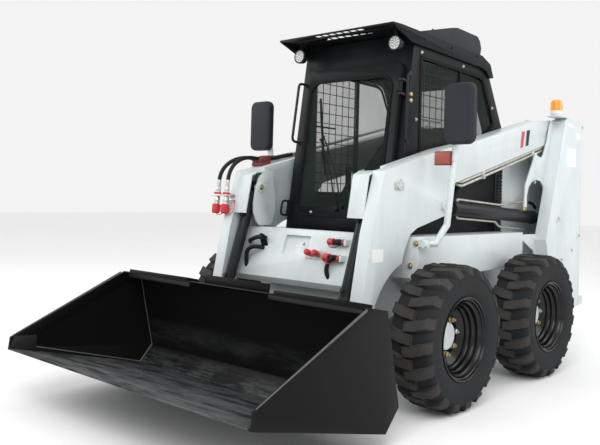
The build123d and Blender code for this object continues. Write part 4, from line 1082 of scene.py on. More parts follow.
@dataclass
class Cab:
    """The cab's roof, lamps, window rubbers, mesh guards and outside fittings."""

    finishes: Finishes
    half: float = 0.435
    roof_half: float = 0.455
    mesh_pitch: float = 0.068
    mesh_columns: int = 6
    mesh_rows: int = 12
    mesh_front: float = 0.235
    mesh_foot: float = 1.142
    mesh_wire: float = 0.0028
    lamp_x: float = 0.384
    lamp_radius: float = 0.046
    hole_pitch: float = 0.042
    hole_start: float = 0.020
    hole_shrink: float = 0.28
    slat_count: int = 7
    slat_pitch: float = 0.020
    slat_foot: float = 2.045

    # The side window's outline, as in the part's source, with its upper rear corner simplified.
    WINDOW = ((0.225, 1.130), (0.225, 1.980), (0.950, 1.962), (0.998, 1.935), (1.150, 1.650), (0.640, 1.130))

    def _thin_visor(self, mesh: bmesh.types.BMesh) -> None:
        """Thins the visor round its holes to sheet metal."""
        for vert in mesh.verts:
            behind = vert.co.y - FRONT_AXLE_Y
            if abs(vert.co.x) > 0.25 or not -0.05 < behind < 0.10:
                continue
            row = round((behind - self.hole_start) / self.hole_pitch) * self.hole_pitch + self.hole_start
            vert.co.y += (behind - row) * self.hole_shrink
            if vert.co.z < 2.1115:
                vert.co.z += 0.0095

    def roof(self) -> None:
        """Dresses the roof and lays the roof unit's seams, grille and bolts."""
        look = self.finishes
        eased_copy("cab_roof", look.cab, 0.004, self._thin_visor)
        trim = Stock()
        for x in (-0.180, 0.180):
            trim.plate([(0.405, 2.1770), (0.787, 2.2770), (0.867, 2.2930), (1.134, 2.2840), (1.134, 2.2790),
                        (0.868, 2.2880), (0.788, 2.2720), (0.406, 2.1720)], x - 0.006, x + 0.006)
        for step in range(self.slat_count):
            height = self.slat_foot + step * self.slat_pitch
            trim.box(at(-0.200, 1.150, height), at(0.200, 1.186, height + 0.008), 0.002)
        trim.become("roof_unit_trim", look.black_plastic, "chassis")
        bolts = Stock()
        for x in (-0.270, -0.130, 0.130, 0.270):
            bolts.bolt(at(x, 0.600, 2.2265), Vector((0, -0.25, 0.97)), 0.012)
        for side in (-1, 1):
            for behind in (0.24, 0.55, 0.86):
                bolts.bolt(at(side * self.roof_half, behind, 2.078), Vector((side, 0, 0)), 0.011)
        bolts.become("roof_bolts", look.black, "chassis")

    def lamps(self) -> None:
        """Makes the two round work lamps with their light dots."""
        look = self.finishes
        shell, dots, ring = Stock(), Stock(), Stock()
        ahead = Vector((0, -1, 0))
        for side in (-1, 1):
            x, edge = side * self.lamp_x, self.lamp_radius
            centre = at(x, 0.049, 2.026)
            shell.turned([(-0.032, 0.0), (-0.032, 0.026), (-0.020, 0.032), (-0.018, 0.042), (-0.012, 0.042),
                          (-0.012, 0.036), (-0.006, 0.036), (-0.006, 0.044), (0.000, 0.044), (0.002, edge),
                          (0.020, edge), (0.0215, edge - 0.002), (0.0215, edge - 0.006), (0.014, edge - 0.007),
                          (0.013, 0.0)], centre, ahead, 48)
            shell.box(at(x - 0.013, 0.040, 2.040), at(x + 0.013, 0.060, 2.108), 0.003)
            ring.turned([(0.0142, 0.0395), (0.0190, 0.0385), (0.0190, 0.0), (0.0142, 0.0)], centre, ahead, 48)
            for count, radius in ((1, 0.0), (6, 0.0155), (10, 0.0300)):
                for index in range(count):
                    turn = 2 * pi * index / count
                    spot = centre + Vector((radius * sin(turn), -0.0190, radius * cos(turn)))
                    dots.turned([(0.0, 0.0052), (0.0012, 0.0050), (0.0022, 0.0030), (0.0026, 0.0)], spot, ahead, 12)
        shell.become("lamp_shells", look.black, "chassis", "lamp_glass", ["work_lamps"])
        ring.become("lamp_reflectors", look.lamp, "chassis", "lamp_glass")
        dots.become("lamp_light_dots", look.mirror, "chassis")

    def windows(self) -> None:
        """Makes the side windows' rubbers, sliding rail, mesh guards and clips."""
        look = self.finishes
        rubber, mesh, clips = Stock(), Stock(), Stock()
        rubber.band([at(self.half - 0.001, *point) for point in self.WINDOW], 0.035, 0.020, Vector((0.005, 0, 0)))
        rubber.box(at(self.half - 0.012, 0.682, 1.190), at(self.half + 0.002, 0.706, 1.968), 0.003)
        rubber.both_sides().become("window_rubbers", look.seal, "chassis")
        inside = self.half - 0.022
        width, height = self.mesh_columns * self.mesh_pitch, self.mesh_rows * self.mesh_pitch
        for index in range(self.mesh_columns + 1):
            start = at(inside, self.mesh_front + index * self.mesh_pitch, self.mesh_foot)
            mesh.drum(start, UP, self.mesh_wire, height, 0.0003, 6)
        for index in range(self.mesh_rows + 1):
            start = at(inside - 0.005, self.mesh_front, self.mesh_foot + index * self.mesh_pitch)
            mesh.drum(start, BACK, self.mesh_wire, width, 0.0003, 6)
        mesh.band([at(inside - 0.006, self.mesh_front + behind, self.mesh_foot + up) for behind, up in
                   oblong(-0.004, -0.004, width + 0.004, height + 0.004)], 0.012, 0.008, Vector((0.008, 0, 0)))
        mesh.both_sides().become("window_mesh", look.black, "chassis", "black_paint", ["window_guards"])
        for behind, height in ((0.237, 1.999), (0.192, 1.590), (0.717, 1.990), (1.112, 1.760), (0.192, 1.250)):
            clips.bolt(at(self.half, behind, height), ACROSS, 0.013)
        clips.both_sides().become("window_clips", look.silver, "chassis")
        # The slide rail is real; its grey, lighter than the black cab, stands in for the pale highlight along it.
        rail = Stock().box(at(self.half + 0.001, 0.250, 1.588), at(self.half + 0.006, 0.470, 1.600), 0.002)
        rail.both_sides().become("window_slide_rail", look.grey, "chassis")

    def pillar(self) -> None:
        """Makes the front pillar's grab bar, stay knobs and wire loop."""
        look = self.finishes
        bar = Stock().pipe(points_at((0.430, 0.130, 1.858), (0.454, 0.078, 1.846), (0.454, 0.066, 1.456),
                                     (0.430, 0.112, 1.446)), 0.0075, 0.024, 12)
        for behind, height in ((0.124, 1.8565), (0.106, 1.4475)):
            bar.drum(at(self.half - 0.001, behind, height), ACROSS, 0.014, 0.006, 0.001, 20)
        bar.become("pillar_grab_bar", look.black, "chassis")
        knobs = Stock()
        for height in (1.694, 1.731):
            foot = at(self.half - 0.004, 0.120, height)
            knobs.drum(foot, ACROSS, 0.008, 0.016, 0.001, 16)
            knobs.turned([(0.010, 0.0), (0.011, 0.009), (0.016, 0.0125), (0.022, 0.010), (0.0245, 0.0)], foot, ACROSS,
                         20)
        knobs.become("stay_knobs", look.gold, "chassis")
        x, down = self.half + 0.001, Vector((0, -0.06, -1))
        stay = Stock().drum(at(x, 0.100, 1.700), down, 0.007, 0.300, 0.002, 16)
        stay.drum(at(x, 0.082, 1.402), down, 0.004, 0.100, 0.001, 12)
        stay.become("door_stay", look.black, "chassis")

    def build(self) -> None:
        """Makes all of the cab's own pieces."""
        self.roof()
        self.lamps()
        self.windows()
        self.pillar()


@dataclass
class Mirrors:
    """The two mirrors, the turn lamps below them, the tail lamps and the beacon."""

    finishes: Finishes
    x: float = 0.796
    face: float = 0.118
    height: float = 1.595
    half_width: float = 0.095
    half_height: float = 0.170

    def heads(self) -> None:
        """Makes the mirrors' soft-edged shells and their glasses."""
        look = self.finishes
        shell, glass, nuts = Stock(), Stock(), Stock()
        corners = [at(self.x + x, self.face, self.height + z) for x, z in
                   oblong(-self.half_width, -self.half_height, self.half_width, self.half_height)]
        rim = shell.drawn(shell.rounded(corners, 0.046, 8), Vector((0, -0.045, 0))).mesh
        limit = FRONT_AXLE_Y + self.face - 0.040
        shell.ease([edge for edge in rim.edges if all(vert.co.y < limit for vert in edge.verts)], 0.018, 5)
        shell.both_sides().become("mirror_shells", look.dark_plastic, "chassis", "dark_plastic", ["mirror_heads"],
                                  40.0)
        near = [corner + Vector((0.010 if corner.x < self.x else -0.010, 0.0008,
                                 0.012 if corner.z < self.height else -0.012)) for corner in corners]
        glass.slab(near, 0.038, Vector((0, 0.0025, 0)), 0.0008).both_sides()
        glass.become("mirror_glasses", look.mirror, "chassis")
        for z in (0.012, -0.246):
            nuts.bolt(at(self.x - 0.028 if z > 0 else self.x - 0.068, self.face + 0.022, self.height + z),
                      Vector((0, 1, 0)), 0.014)
        nuts.both_sides().become("mirror_bolts", look.silver, "chassis")

    def lamps(self) -> None:
        """Makes the turn lamps and the tail lamps: a lens on a dark base."""
        look = self.finishes
        base, lens = Stock(), Stock()
        low = at(self.x - 0.167, self.face - 0.0135, self.height - 0.285)
        high = at(self.x - 0.056, self.face, self.height - 0.205)
        base.box(low, high, 0.003)
        lens.box(low + Vector((0.005, -0.0085, 0.005)), Vector((high.x - 0.005, low.y, high.z - 0.005)), 0.004, 3)
        base.both_sides().become("turn_lamp_bases", look.clamp, "chassis", "amber_lens", ["signal_lamps"])
        lens.both_sides().become("turn_lamp_lenses", look.orange, "chassis", "amber_lens")
        base, lens = Stock(), Stock()
        low, high = at(0.626, 2.052, 1.125), at(0.686, 2.0575, 1.245)
        base.box(low, high, 0.002)
        lens.box(low + Vector((0.004, 0.0055, 0.004)), high + Vector((-0.004, 0.0085, -0.004)), 0.004, 3)
        base.both_sides().become("tail_lamp_bases", look.black_plastic, "chassis")
        lens.both_sides().become("tail_lamp_lenses", look.tail, "chassis", "red_lens")

    def beacon(self) -> None:
        """Makes the beacon's plate, foot and dome."""
        look = self.finishes
        foot = at(0.654, 1.690, 1.753)
        plate = Stock().box(at(0.600, 1.640, 1.745), at(0.698, 1.850, 1.753), 0.002)
        plate.become("beacon_plate", look.white, "chassis", "white_paint", ["beacon"])
        base = Stock().turned([(0.0, 0.0), (0.0, 0.036), (0.004, 0.038), (0.012, 0.038), (0.014, 0.044),
                               (0.034, 0.0455), (0.038, 0.0440), (0.038, 0.0)], foot, UP, 48)
        base.become("beacon_foot", look.blank_label, "chassis")
        dome = Stock().turned([(0.037, 0.0), (0.037, 0.0440), (0.100, 0.0415), (0.112, 0.0385), (0.119, 0.0310),
                               (0.1215, 0.0180), (0.122, 0.0)], foot, UP, 48)
        dome.become("beacon_dome", look.amber, "chassis", "amber_lens")
        ribs, count, reach = Stock(), 24, 0.0432
        for index in range(count):
            turn = 2 * pi * index / count
            spot = foot + Vector((reach * sin(turn), reach * cos(turn), 0.042))
            ribs.drum(spot, Vector((-0.04 * sin(turn), -0.04 * cos(turn), 1)), 0.0016, 0.056, 0.0005, 6)
        ribs.become("beacon_ribs", look.amber, "chassis")

    def build(self) -> None:
        """Makes the mirrors and all the lamps on the body."""
        self.heads()
        self.lamps()
        self.beacon()


# Lift arms and cylinders ---------------------------------------------------------------------------
@dataclass
class LiftArms:
    """What is fixed to the lift arms: steel pipes, couplers, hoses, pins, stripes and bare plates."""

    finishes: Finishes
    outer: float = 0.590
    pipe_x: float = 0.577
    pipe_radius: float = 0.0095
    hose_radius: float = 0.0125
    thick_hose: float = 0.0130
    strap_radius: float = 0.0022
    # The ways out of and up the leaning plate between the legs.
    plate_out: Vector = Vector((0, -0.934, 0.358))
    plate_up: Vector = Vector((0, 0.358, 0.934))

    def pipes(self) -> None:
        """Runs two steel pipes under the left arm, held by two clamps."""
        look = self.finishes
        low, high = Vector((0, 0.452, 1.232)), Vector((0, 1.671, 1.545))
        along = (high - low).normalized()
        down = Vector((0, along.z, -along.y))
        pipes, clamps = Stock(), Stock()
        for drop in (0.012, 0.036):
            start = at(self.pipe_x, low.y, low.z) + down * drop
            pipes.pipe([start + Vector((-0.070, 0.010, 0.030)), start + Vector((-0.004, 0.012, 0.0)) + along * 0.02,
                        start + along * 1.215, start + along * 1.265 + Vector((-0.03, 0, 0.020))],
                       self.pipe_radius, 0.030, 14)
        pipes.become("arm_pipes", look.zinc, "lift_arms")
        for share in (0.240, 0.820):
            middle = at(self.pipe_x, low.y, low.z) + along * (share * (high - low).length)
            clamps.box_along(middle - down * 0.002, middle + down * 0.052, 0.030, 0.026)
            clamps.bolt(middle + down * 0.024 + Vector((0.012, 0, 0)), ACROSS, 0.010)
        clamps.become("arm_pipe_clamps", look.silver, "lift_arms")

    def stripes(self) -> None:
        """Lays the red and the dark slanted stripes on both arms, and the bare plates."""
        look = self.finishes
        for name, finish, points in (
                ("red_stripes", look.red, ((1.245, 1.4874), (1.2887, 1.4968), (1.3134, 1.6120), (1.2640, 1.6030))),
                ("dark_stripes", look.dark_stripe,
                 ((1.3254, 1.5051), (1.3701, 1.5160), (1.3930, 1.6280), (1.3400, 1.6180)))):
            stripe = Stock().plate(points, self.outer, self.outer + 0.0006)
            stripe.both_sides().become(name, finish, "lift_arms")
        labels = Stock().slab([at(self.outer, *point) for point in oblong(-0.397, 0.783, -0.301, 0.850)], 0.004,
                              Vector((0.0008, 0, 0)))
        labels.both_sides().become("arm_bare_plates", look.blank_label, "lift_arms")

    def pins(self) -> None:
        """Makes the pins' ends, retaining plates, bolts and grease nipples."""
        look = self.finishes
        plates, bolts, ends = Stock(), Stock(), Stock()
        # The retained pin at the arm's front corner.
        spot = at(self.outer, -0.174, 1.185)
        plates.slab([spot + Vector((0, *point)) for point in oblong(-0.040, -0.022, 0.040, 0.022)], 0.010,
                    Vector((0.006, 0, 0)), 0.001)
        ends.drum(spot, ACROSS, 0.021, 0.012, 0.002, 28)
        for y in (-0.028, 0.028):
            bolts.bolt(spot + Vector((0.006, y, 0.004)), ACROSS, 0.013)
        ends.drum(spot + Vector((0.004, 0.004, 0.034)), ACROSS, 0.004, 0.012, 0.001, 12)
        # The lift rod's pin.
        ends.drum(at(0.610, 0.280, 1.077), ACROSS, 0.019, 0.004, 0.0015, 28)
        bolts.bolt(at(0.610, 0.284, 1.077), ACROSS, 0.014)
        plates.both_sides().become("pin_plates", look.zinc, "lift_arms")
        bolts.both_sides().become("pin_bolts", look.silver, "lift_arms")
        ends.both_sides().become("pin_ends", look.silver, "lift_arms")
        heads = Stock().drum(at(0.396, -0.262, 1.165), -ACROSS, 0.018, 0.004, 0.0015, 28)
        heads.bolt(at(0.392, -0.262, 1.165), -ACROSS, 0.013)
        heads.both_sides().become("tilt_pin_heads", look.gold, "lift_arms")

    def couplers(self) -> None:
        """Makes the right arm's two couplers with their red caps, straps, ferrules and hoses."""
        look = self.finishes
        metal, caps = Stock(), Stock()
        for number, x in enumerate((-0.642, -0.560)):
            low, high = at(x, -0.412, 1.010), at(x, -0.396, 1.156)
            way = (high - low).normalized()
            metal.turned([(0.030, 0.0), (0.030, 0.0175), (0.036, 0.0190), (0.060, 0.0190), (0.063, 0.0170),
                          (0.066, 0.0190), (0.086, 0.0190), (0.090, 0.0165), (0.128, 0.0165), (0.130, 0.0)],
                         low, way, 32)
            metal.hexagon(low + way * 0.130, way, 0.032, 0.024, 0.4 * number)
            metal.turned([(0.150, 0.0), (0.150, 0.0130), (0.158, 0.0140), (0.160, 0.0125), (0.166, 0.0140),
                          (0.168, 0.0125), (0.174, 0.0140), (0.176, 0.0125), (0.186, 0.0140), (0.196, 0.0130),
                          (0.196, 0.0)], low, way, 28)
            caps.turned([(-0.014, 0.0), (-0.013, 0.0190), (-0.006, 0.0245), (0.000, 0.0255), (0.040, 0.0265),
                         (0.042, 0.0225), (0.045, 0.0225), (0.046, 0.0)], low, way, 36)
            caps.turned([(0.104, 0.0170), (0.104, 0.0235), (0.118, 0.0235), (0.118, 0.0170)], low, way, 32, True)
            start, rest = low + way * 0.190, -0.574 + 0.034 * number
            line = points_at((x * 0.6 + rest * 0.4, -0.340, 1.330), (rest, -0.230, 1.362), (rest, -0.118, 1.338),
                             (rest, 0.010, 1.366), (rest, 0.146, 1.3965))
            hose(f"arm_hose_{number}", look.hose, "lift_arms", [start, start + way * 0.060, *line], self.hose_radius)
            joint = at(rest, 0.140, 1.395)
            run = Vector((0, 0.970, 0.243)).normalized()
            metal.turned([(0.0, 0.0), (0.0, 0.0140), (0.040, 0.0140), (0.042, 0.0110), (0.060, 0.0110),
                          (0.060, 0.0)], joint, run, 24)
            metal.pipe([joint + run * 0.05, joint + run * 0.18, joint + run * 1.10 + Vector((0, 0, 0.006)),
                        joint + run * 1.14 + Vector((0, 0, -0.03))], 0.0080, 0.02, 12)
            strap = ((0.024, 0.008, 0.110), (0.075, 0.012, 0.104), (0.092, 0.006, 0.040), (0.070, -0.002, -0.022),
                     (0.020, -0.006, -0.026), (0.004, 0, -0.012))
            hose(f"coupler_strap_{number}", look.red_cap, "lift_arms", [low + Vector(point) for point in strap],
                 self.strap_radius)
        metal.box(at(-0.672, -0.424, 1.1045), at(-0.530, -0.352, 1.1165), 0.003)
        metal.become("coupler_bodies", look.silver, "lift_arms")
        caps.become("coupler_caps", look.red_cap, "lift_arms")
        clamp = Stock()
        for height in (1.3105, 1.3395):
            clamp.box(at(-0.600, -0.165, height), at(-0.516, -0.072, height + 0.027), 0.006, 3)
        for vert in clamp.mesh.verts:
            vert.co.z += (vert.co.y - FRONT_AXLE_Y + 0.118) * 0.25
        clamp.become("hose_clamp", look.clamp, "lift_arms")

    def cross_member(self) -> None:
        """Makes the couplers, caps and hoses on the plate between the legs."""
        look = self.finishes
        caps, metal, black = Stock(), Stock(), Stock()
        out, foot = self.plate_out, Vector((0, -0.304, 0.787))
        metal.slab([at(x, foot.y, foot.z) + self.plate_up * up + out * 0.001 for x, up in
                    oblong(0.042, -0.026, 0.182, 0.026)], 0.006, out * 0.006, 0.001)
        for x in (0.082, 0.142):
            spot = at(x, foot.y, foot.z)
            metal.turned([(0.004, 0.0), (0.004, 0.0160), (0.022, 0.0160), (0.026, 0.0135), (0.036, 0.0135),
                          (0.036, 0.0)], spot, out, 28)
            caps.turned([(0.024, 0.0), (0.024, 0.0170), (0.050, 0.0175), (0.056, 0.0150), (0.059, 0.0090),
                         (0.060, 0.0)], spot, out, 32)
        metal.bolt(at(0.009, -0.291, 0.841), out, 0.014)
        for number, (place, radius) in enumerate((((-0.300, 0.867), 0.020), ((-0.336, 0.781), 0.0235))):
            left = at(0.200, *place)
            caps.turned([(0.0, 0.0), (0.001, radius * 0.6), (0.006, radius * 0.92), (0.012, radius),
                         (0.044, radius * 0.98), (0.046, radius * 0.8), (0.046, 0.0)], left, ACROSS, 32)
            black.turned([(0.044, 0.0), (0.044, 0.0150), (0.066, 0.0150), (0.068, 0.0180), (0.092, 0.0180),
                          (0.096, 0.0140), (0.112, 0.0140), (0.112, 0.0)], left, ACROSS, 28)
            caps.turned([(0.112, 0.0125), (0.112, 0.0185), (0.122, 0.0185), (0.122, 0.0125)], left, ACROSS, 28, True)
            strap = ((0.116, -0.016, 0), (0.105, -0.034, -0.028), (0.060, -0.034, -0.040), (0.024, -0.022, -0.018))
            hose(f"side_cap_strap_{number}", look.red_cap if number else look.black_plastic, "lift_arms",
                 [left + Vector(point) for point in strap], self.strap_radius)
        caps.become("cross_caps", look.red_cap, "lift_arms")
        metal.become("cross_coupler_seat", look.zinc, "lift_arms")
        black.become("cross_coupler_bodies", look.black_plastic, "lift_arms")
        hose("cross_hose", look.hose, "lift_arms",
             points_at((0.285, -0.345, 0.786), (0.262, -0.352, 0.772), (0.238, -0.356, 0.735),
                       (0.240, -0.350, 0.675), (0.268, -0.325, 0.640), (0.310, -0.290, 0.622)), self.hose_radius)
        plate = Stock().slab([at(-0.318 + x, -0.291 - up * 0.358, 0.824 + up * 0.934) for x, up in
                              oblong(-0.026, -0.064, 0.026, 0.064)], 0.024, out * 0.012, 0.003)
        plate.become("cross_grommet", look.seal, "lift_arms")
        hose("grommet_hose_high", look.hose, "lift_arms",
             points_at((-0.316, -0.286, 0.858), (-0.330, -0.330, 0.870), (-0.385, -0.335, 0.850),
                       (-0.430, -0.318, 0.835), (-0.465, -0.270, 0.825), (-0.500, -0.240, 0.815)), self.thick_hose)
        hose("grommet_hose_low", look.hose, "lift_arms",
             points_at((-0.318, -0.302, 0.800), (-0.335, -0.350, 0.812), (-0.395, -0.362, 0.800),
                       (-0.422, -0.352, 0.740), (-0.428, -0.330, 0.660), (-0.432, -0.300, 0.615)), self.thick_hose)

    def build(self) -> None:
        """Makes everything that the arms carry."""
        self.pipes()
        self.stripes()
        self.pins()
        self.couplers()
        self.cross_member()


@dataclass
class Cylinder:
    """One hydraulic cylinder: the gland at the barrel's mouth, its weld ring, ports and feed pipe."""

    finishes: Finishes
    kind: Kind
    side: Side
    base: SidePoint
    end: SidePoint
    x: float
    bore: float
    rod: float
    barrel: float
    # The ports' places, from the base and from the mouth, and how far the long pipe's end is raised.
    near_port: float = 0.190
    far_port: float = 0.070
    pipe_lift: float = 0.050

    def build(self) -> None:
        """Makes the pieces that ride on the barrel."""
        look = self.finishes
        body = f"{self.kind.value}_barrel_{self.side.name.lower()}"
        x = self.x * self.side.value
        start = at(x, *self.base)
        way = (at(x, *self.end) - start).normalized()
        over = Vector((0, -way.z, way.y))
        over = over if over.z > 0 else -over
        gland, pipe = Stock(), Stock()
        gland.turned([(-0.040, self.bore + 0.0005), (-0.040, self.bore + 0.005), (-0.004, self.bore + 0.005),
                      (0.0, self.bore + 0.003), (0.002, self.bore - 0.004), (0.004, self.rod + 0.010),
                      (0.004, self.rod + 0.0012), (-0.004, self.rod + 0.0012)], start + way * self.barrel, way, 40)
        gland.turned([(0.046, self.bore - 0.001), (0.050, self.bore + 0.004), (0.058, self.bore + 0.004),
                      (0.062, self.bore - 0.001)], start, way, 40)
        gland.become(body + "_gland", look.black, body)
        gap = self.bore + 0.013
        near, far = start + way * self.near_port, start + way * (self.barrel - self.far_port)
        pipe.drum(far + over * (self.bore - 0.004), over, 0.012, 0.018, 0.001, 20)
        if self.kind is Kind.TILT:
            pipe.drum(near + over * (self.bore - 0.004), over, 0.012, 0.018, 0.001, 20)
            pipe.become(body + "_ports", look.black, body)
            return
        lift = UP * self.pipe_lift
        raised = near + over * gap + lift
        pipe.pipe([far + over * (self.bore + 0.006), far + over * gap, far - way * 0.55 + over * gap, raised],
                  0.0085, 0.010, 12)
        pipe.pipe([far - over * (self.bore + 0.002), far - way * 0.02 - over * gap, far - way * 0.50 - over * gap,
                   far - way * 0.56 - over * (gap + 0.03), near - way * 0.02 - over * (gap + 0.036)],
                  0.0075, 0.010, 12)
        pipe.become(body + "_pipes", look.zinc, body)
        fittings = Stock()
        for spot, line in ((raised, way), (near + over * (gap - 0.012) + lift * 0.4 - way * 0.02, over)):
            fittings.turned([(-0.050, 0.0), (-0.050, 0.0135), (-0.020, 0.0135), (-0.018, 0.0105), (0.006, 0.0105),
                             (0.008, 0.0130), (0.028, 0.0130), (0.030, 0.0)], spot, line, 20)
            fittings.hexagon(spot - line * 0.008, line, 0.030, 0.016, 0.2)
        fittings.drum(near + over * (self.bore - 0.006), over, 0.014, 0.030, 0.002, 20)
        fittings.become(body + "_fittings", look.gold, body)
        hose(body + "_hose", look.hose, body,
             [raised - way * 0.045, raised - way * 0.11,
              near + over * (gap + 0.02) - way * 0.16 + Vector((0, 0, 0.02)), start + over * 0.070], 0.0115)


# Seat and levers -----------------------------------------------------------------------------------
class PadFace(Enum):
    """Which face of a pad swells, by its axis."""

    FRONT = 1
    TOP = 2


@dataclass
class OperatorSeat:
    """The seat's padded cushion and back, its shell, and the boots and grips of the two levers."""

    finishes: Finishes
    half_width: float = 0.236
    seat_low: Vector = Vector((0.0, 0.785, 1.0835))
    back_mid: Vector = Vector((0.0, 1.010, 1.385))
    # The two sewn channels of a pad: place and width as shares of its half width, and depth in metres.
    channel_place: float = 0.43
    channel_width: float = 0.10
    channel_depth: float = 0.006

    def _pad(self, name: str, middle: Vector, size: Vector, crown: float, face: PadFace) -> None:
        """Makes one padded piece.

        Args:
            name: the piece's name.
            middle: its centre in the row frame.
            size: its whole width, depth and height.
            crown: how far its face swells.
            face: the face that swells.
        """
        mesh = bmesh.new()
        bmesh.ops.create_cube(mesh, size=2.0)
        bmesh.ops.subdivide_edges(mesh, edges=list(mesh.edges), cuts=13, use_grid_fill=True)
        deep = face.value
        other = 3 - deep
        for vert in mesh.verts:
            u, v, w = vert.co.x, vert.co[other], vert.co[deep]
            swell = (1 - u * u) * (1 - v * v)
            channel = sum(max(0.0, 1 - abs(u - line) / self.channel_width) * (1 - v * v)
                          for line in (-self.channel_place, self.channel_place))
            out = 1.0 if (w > 0) == (face is PadFace.TOP) else 0.0
            vert.co.x = u * size.x / 2 * (1 - 0.035 * (1 - v * v) * (1 - w * w * 0.4)) * (1 - 0.06 * w * w)
            vert.co[other] = v * size[other] / 2 * (1 - 0.030 * (1 - u * u)) * (1 - 0.05 * w * w)
            depth, sign = size[deep] / 2 - crown * out, 1 if w > 0 else -1
            vert.co[deep] = w * depth + sign * out * (swell ** 0.6 * crown - channel * self.channel_depth) * abs(w)
        bmesh.ops.transform(mesh, matrix=Matrix.Translation(at(*middle)), verts=mesh.verts)
        data = bpy.data.meshes.new(name)
        mesh.to_mesh(data)
        mesh.free()
        piece = settle(name, data, [self.finishes.seat], "chassis", slot_of_node("seat"),
                       ["seat"] if face is PadFace.TOP else [], 180.0)
        layer = piece.modifiers.new("smooth", "SUBSURF")
        layer.levels = layer.render_levels = 1

    def build(self) -> None:
        """Makes the seat and the levers' dressing."""
        look, wide = self.finishes, self.half_width * 2
        self._pad("seat_cushion", self.seat_low, Vector((wide, 0.440, 0.090)), 0.018, PadFace.TOP)
        self._pad("seat_back", self.back_mid, Vector((wide - 0.036, 0.096, 0.500)), 0.016, PadFace.FRONT)
        shell = Stock().box(at(-0.200, 0.582, 0.926), at(0.200, 0.998, 1.038), 0.012, 3)
        shell.become("seat_shell", look.black_plastic, "chassis")
        knobs = Stock()
        for side in (-1, 1):
            foot = at(side * 0.325, 0.485, 1.150)
            knobs.turned([(0.0, 0.0), (0.0, 0.046), (0.006, 0.046), (0.010, 0.038), (0.018, 0.040), (0.024, 0.031),
                          (0.032, 0.033), (0.040, 0.024), (0.060, 0.016), (0.062, 0.0)], foot, UP, 28)
            knobs.turned([(0.090, 0.0), (0.092, 0.0175), (0.110, 0.0210), (0.150, 0.0200), (0.172, 0.0215),
                          (0.182, 0.0150), (0.184, 0.0)], foot, UP, 28)
        knobs.become("lever_boots_and_grips", look.seal, "chassis")


@dataclass
class BucketTrim:
    """Welds with a painted glint, painted edge highlights, lip strips and corner plates inside and on the bucket."""

    finishes: Finishes
    inner: float = 0.9345

    def build(self) -> None:
        """Makes the beads, the strips and the corners."""
        look = self.finishes
        beads = Stock()
        corner, knee, back = (-0.724, 0.0815), (-0.643, 0.174), (-0.738, 0.604)
        for start, end, thick in ((corner, knee, 0.0055), ((-1.500, 0.300), corner, 0.0035), (knee, back, 0.0030)):
            for x in (-self.inner, self.inner):
                beads.pipe([at(x, *start), at(x, *end)], thick, 0.0, 8)
        # The weld beads are real; their grey, lighter than the black bucket, is also a painted glint along the inner
        # corners and the knee.
        beads.become("bucket_welds", look.grey, "bucket", sharp=60.0)
        # Grey strips along the side plates' front edges: a painted highlight on each edge.
        edges = Stock()
        for x in (-0.943, 0.943):
            edges.box_along(at(x, -1.500, 0.340), at(x, -0.870, 0.634), 0.0135, 0.0030, 0.001)
        edges.become("bucket_bare_edges", look.grey, "bucket")
        strips = Stock()
        for low, high in ((-0.900, -0.320), (0.300, 0.900)):
            strips.box_along(at(low, -0.842, 0.622), at(high, -0.842, 0.622), 0.030, 0.008, 0.002)
        strips.become("bucket_lip_strips", look.black, "bucket")
        corners = Stock()
        outline = ((-1.522, 0.272), (-1.380, 0.2535), (-1.380, 0.330), (-1.500, 0.340))
        for side in (-1, 1):
            corners.plate(outline, side * 0.9365, side * 0.9302, 0.001)
        corners.become("bucket_corner_plates", look.black, "bucket")


@dataclass
class BodySides:
    """What is fixed to the towers, fenders and hood: bare plates, bolts, louvres, the rear handle."""

    finishes: Finishes
    tower: float = 0.700
    hood: float = 0.442
    louvre_count: int = 11
    louvre_pitch: float = 0.023
    louvre_foot: float = 1.110

    def build(self) -> None:
        """Makes the sides' and the rear's small pieces."""
        look = self.finishes
        labels = Stock()
        for edges in ((1.785, 1.385, 1.955, 1.525), (1.775, 1.682, 1.890, 1.710), (1.955, 1.600, 2.030, 1.650)):
            labels.slab([at(self.tower, *point) for point in oblong(*edges)], 0.004, Vector((0.0008, 0, 0)))
        labels.both_sides().become("tower_bare_plates", look.blank_label, "chassis")
        bolts, gold = Stock(), Stock()
        for spot in points_at((0.706, 1.640, 1.000), (0.706, 2.020, 0.870), (0.700, 1.900, 0.760),
                              (0.700, 1.720, 0.700), (0.598, 1.454, 1.344), (0.598, 1.458, 1.259),
                              (0.598, 1.567, 1.284)):
            bolts.bolt(spot, ACROSS, 0.018)
        bolts.both_sides().become("tower_bolts", look.silver, "chassis")
        for x, height in ((0.6145, 0.872), (0.579, 0.746)):
            gold.bolt(at(x, -0.035, height), Vector((0, -1, 0)), 0.022)
        gold.both_sides().become("fender_bolts", look.gold, "chassis")
        louvres = Stock()
        for index in range(self.louvre_count):
            height = self.louvre_foot + index * self.louvre_pitch
            louvres.box(at(self.hood - 0.002, 1.190, height), at(self.hood + 0.012, 1.278, height + 0.009), 0.002)
        louvres.both_sides().become("hood_louvres", look.black, "chassis")
        rear = Stock().pipe(points_at((-0.120, 2.090, 1.300), (-0.120, 2.135, 1.300), (0.120, 2.135, 1.300),
                                      (0.120, 2.090, 1.300)), 0.009, 0.022, 14)
        for x in (-0.120, 0.120):
            rear.drum(at(x, 2.091, 1.300), BACK, 0.018, 0.004, 0.001, 24)
        rear.become("tailgate_handle", look.black, "tailgate")
        latch = Stock().slab([at(x, 2.092, height) for x, height in oblong(0.345, 1.020, 0.415, 1.130)], 0.012,
                             Vector((0, 0.006, 0)), 0.0015)
        latch.drum(at(0.380, 2.098, 1.092), BACK, 0.014, 0.006, 0.001, 24)
        latch.box(at(0.368, 2.098, 1.036), at(0.392, 2.112, 1.072), 0.004, 3)
        latch.become("tailgate_latch", look.black_plastic, "tailgate")


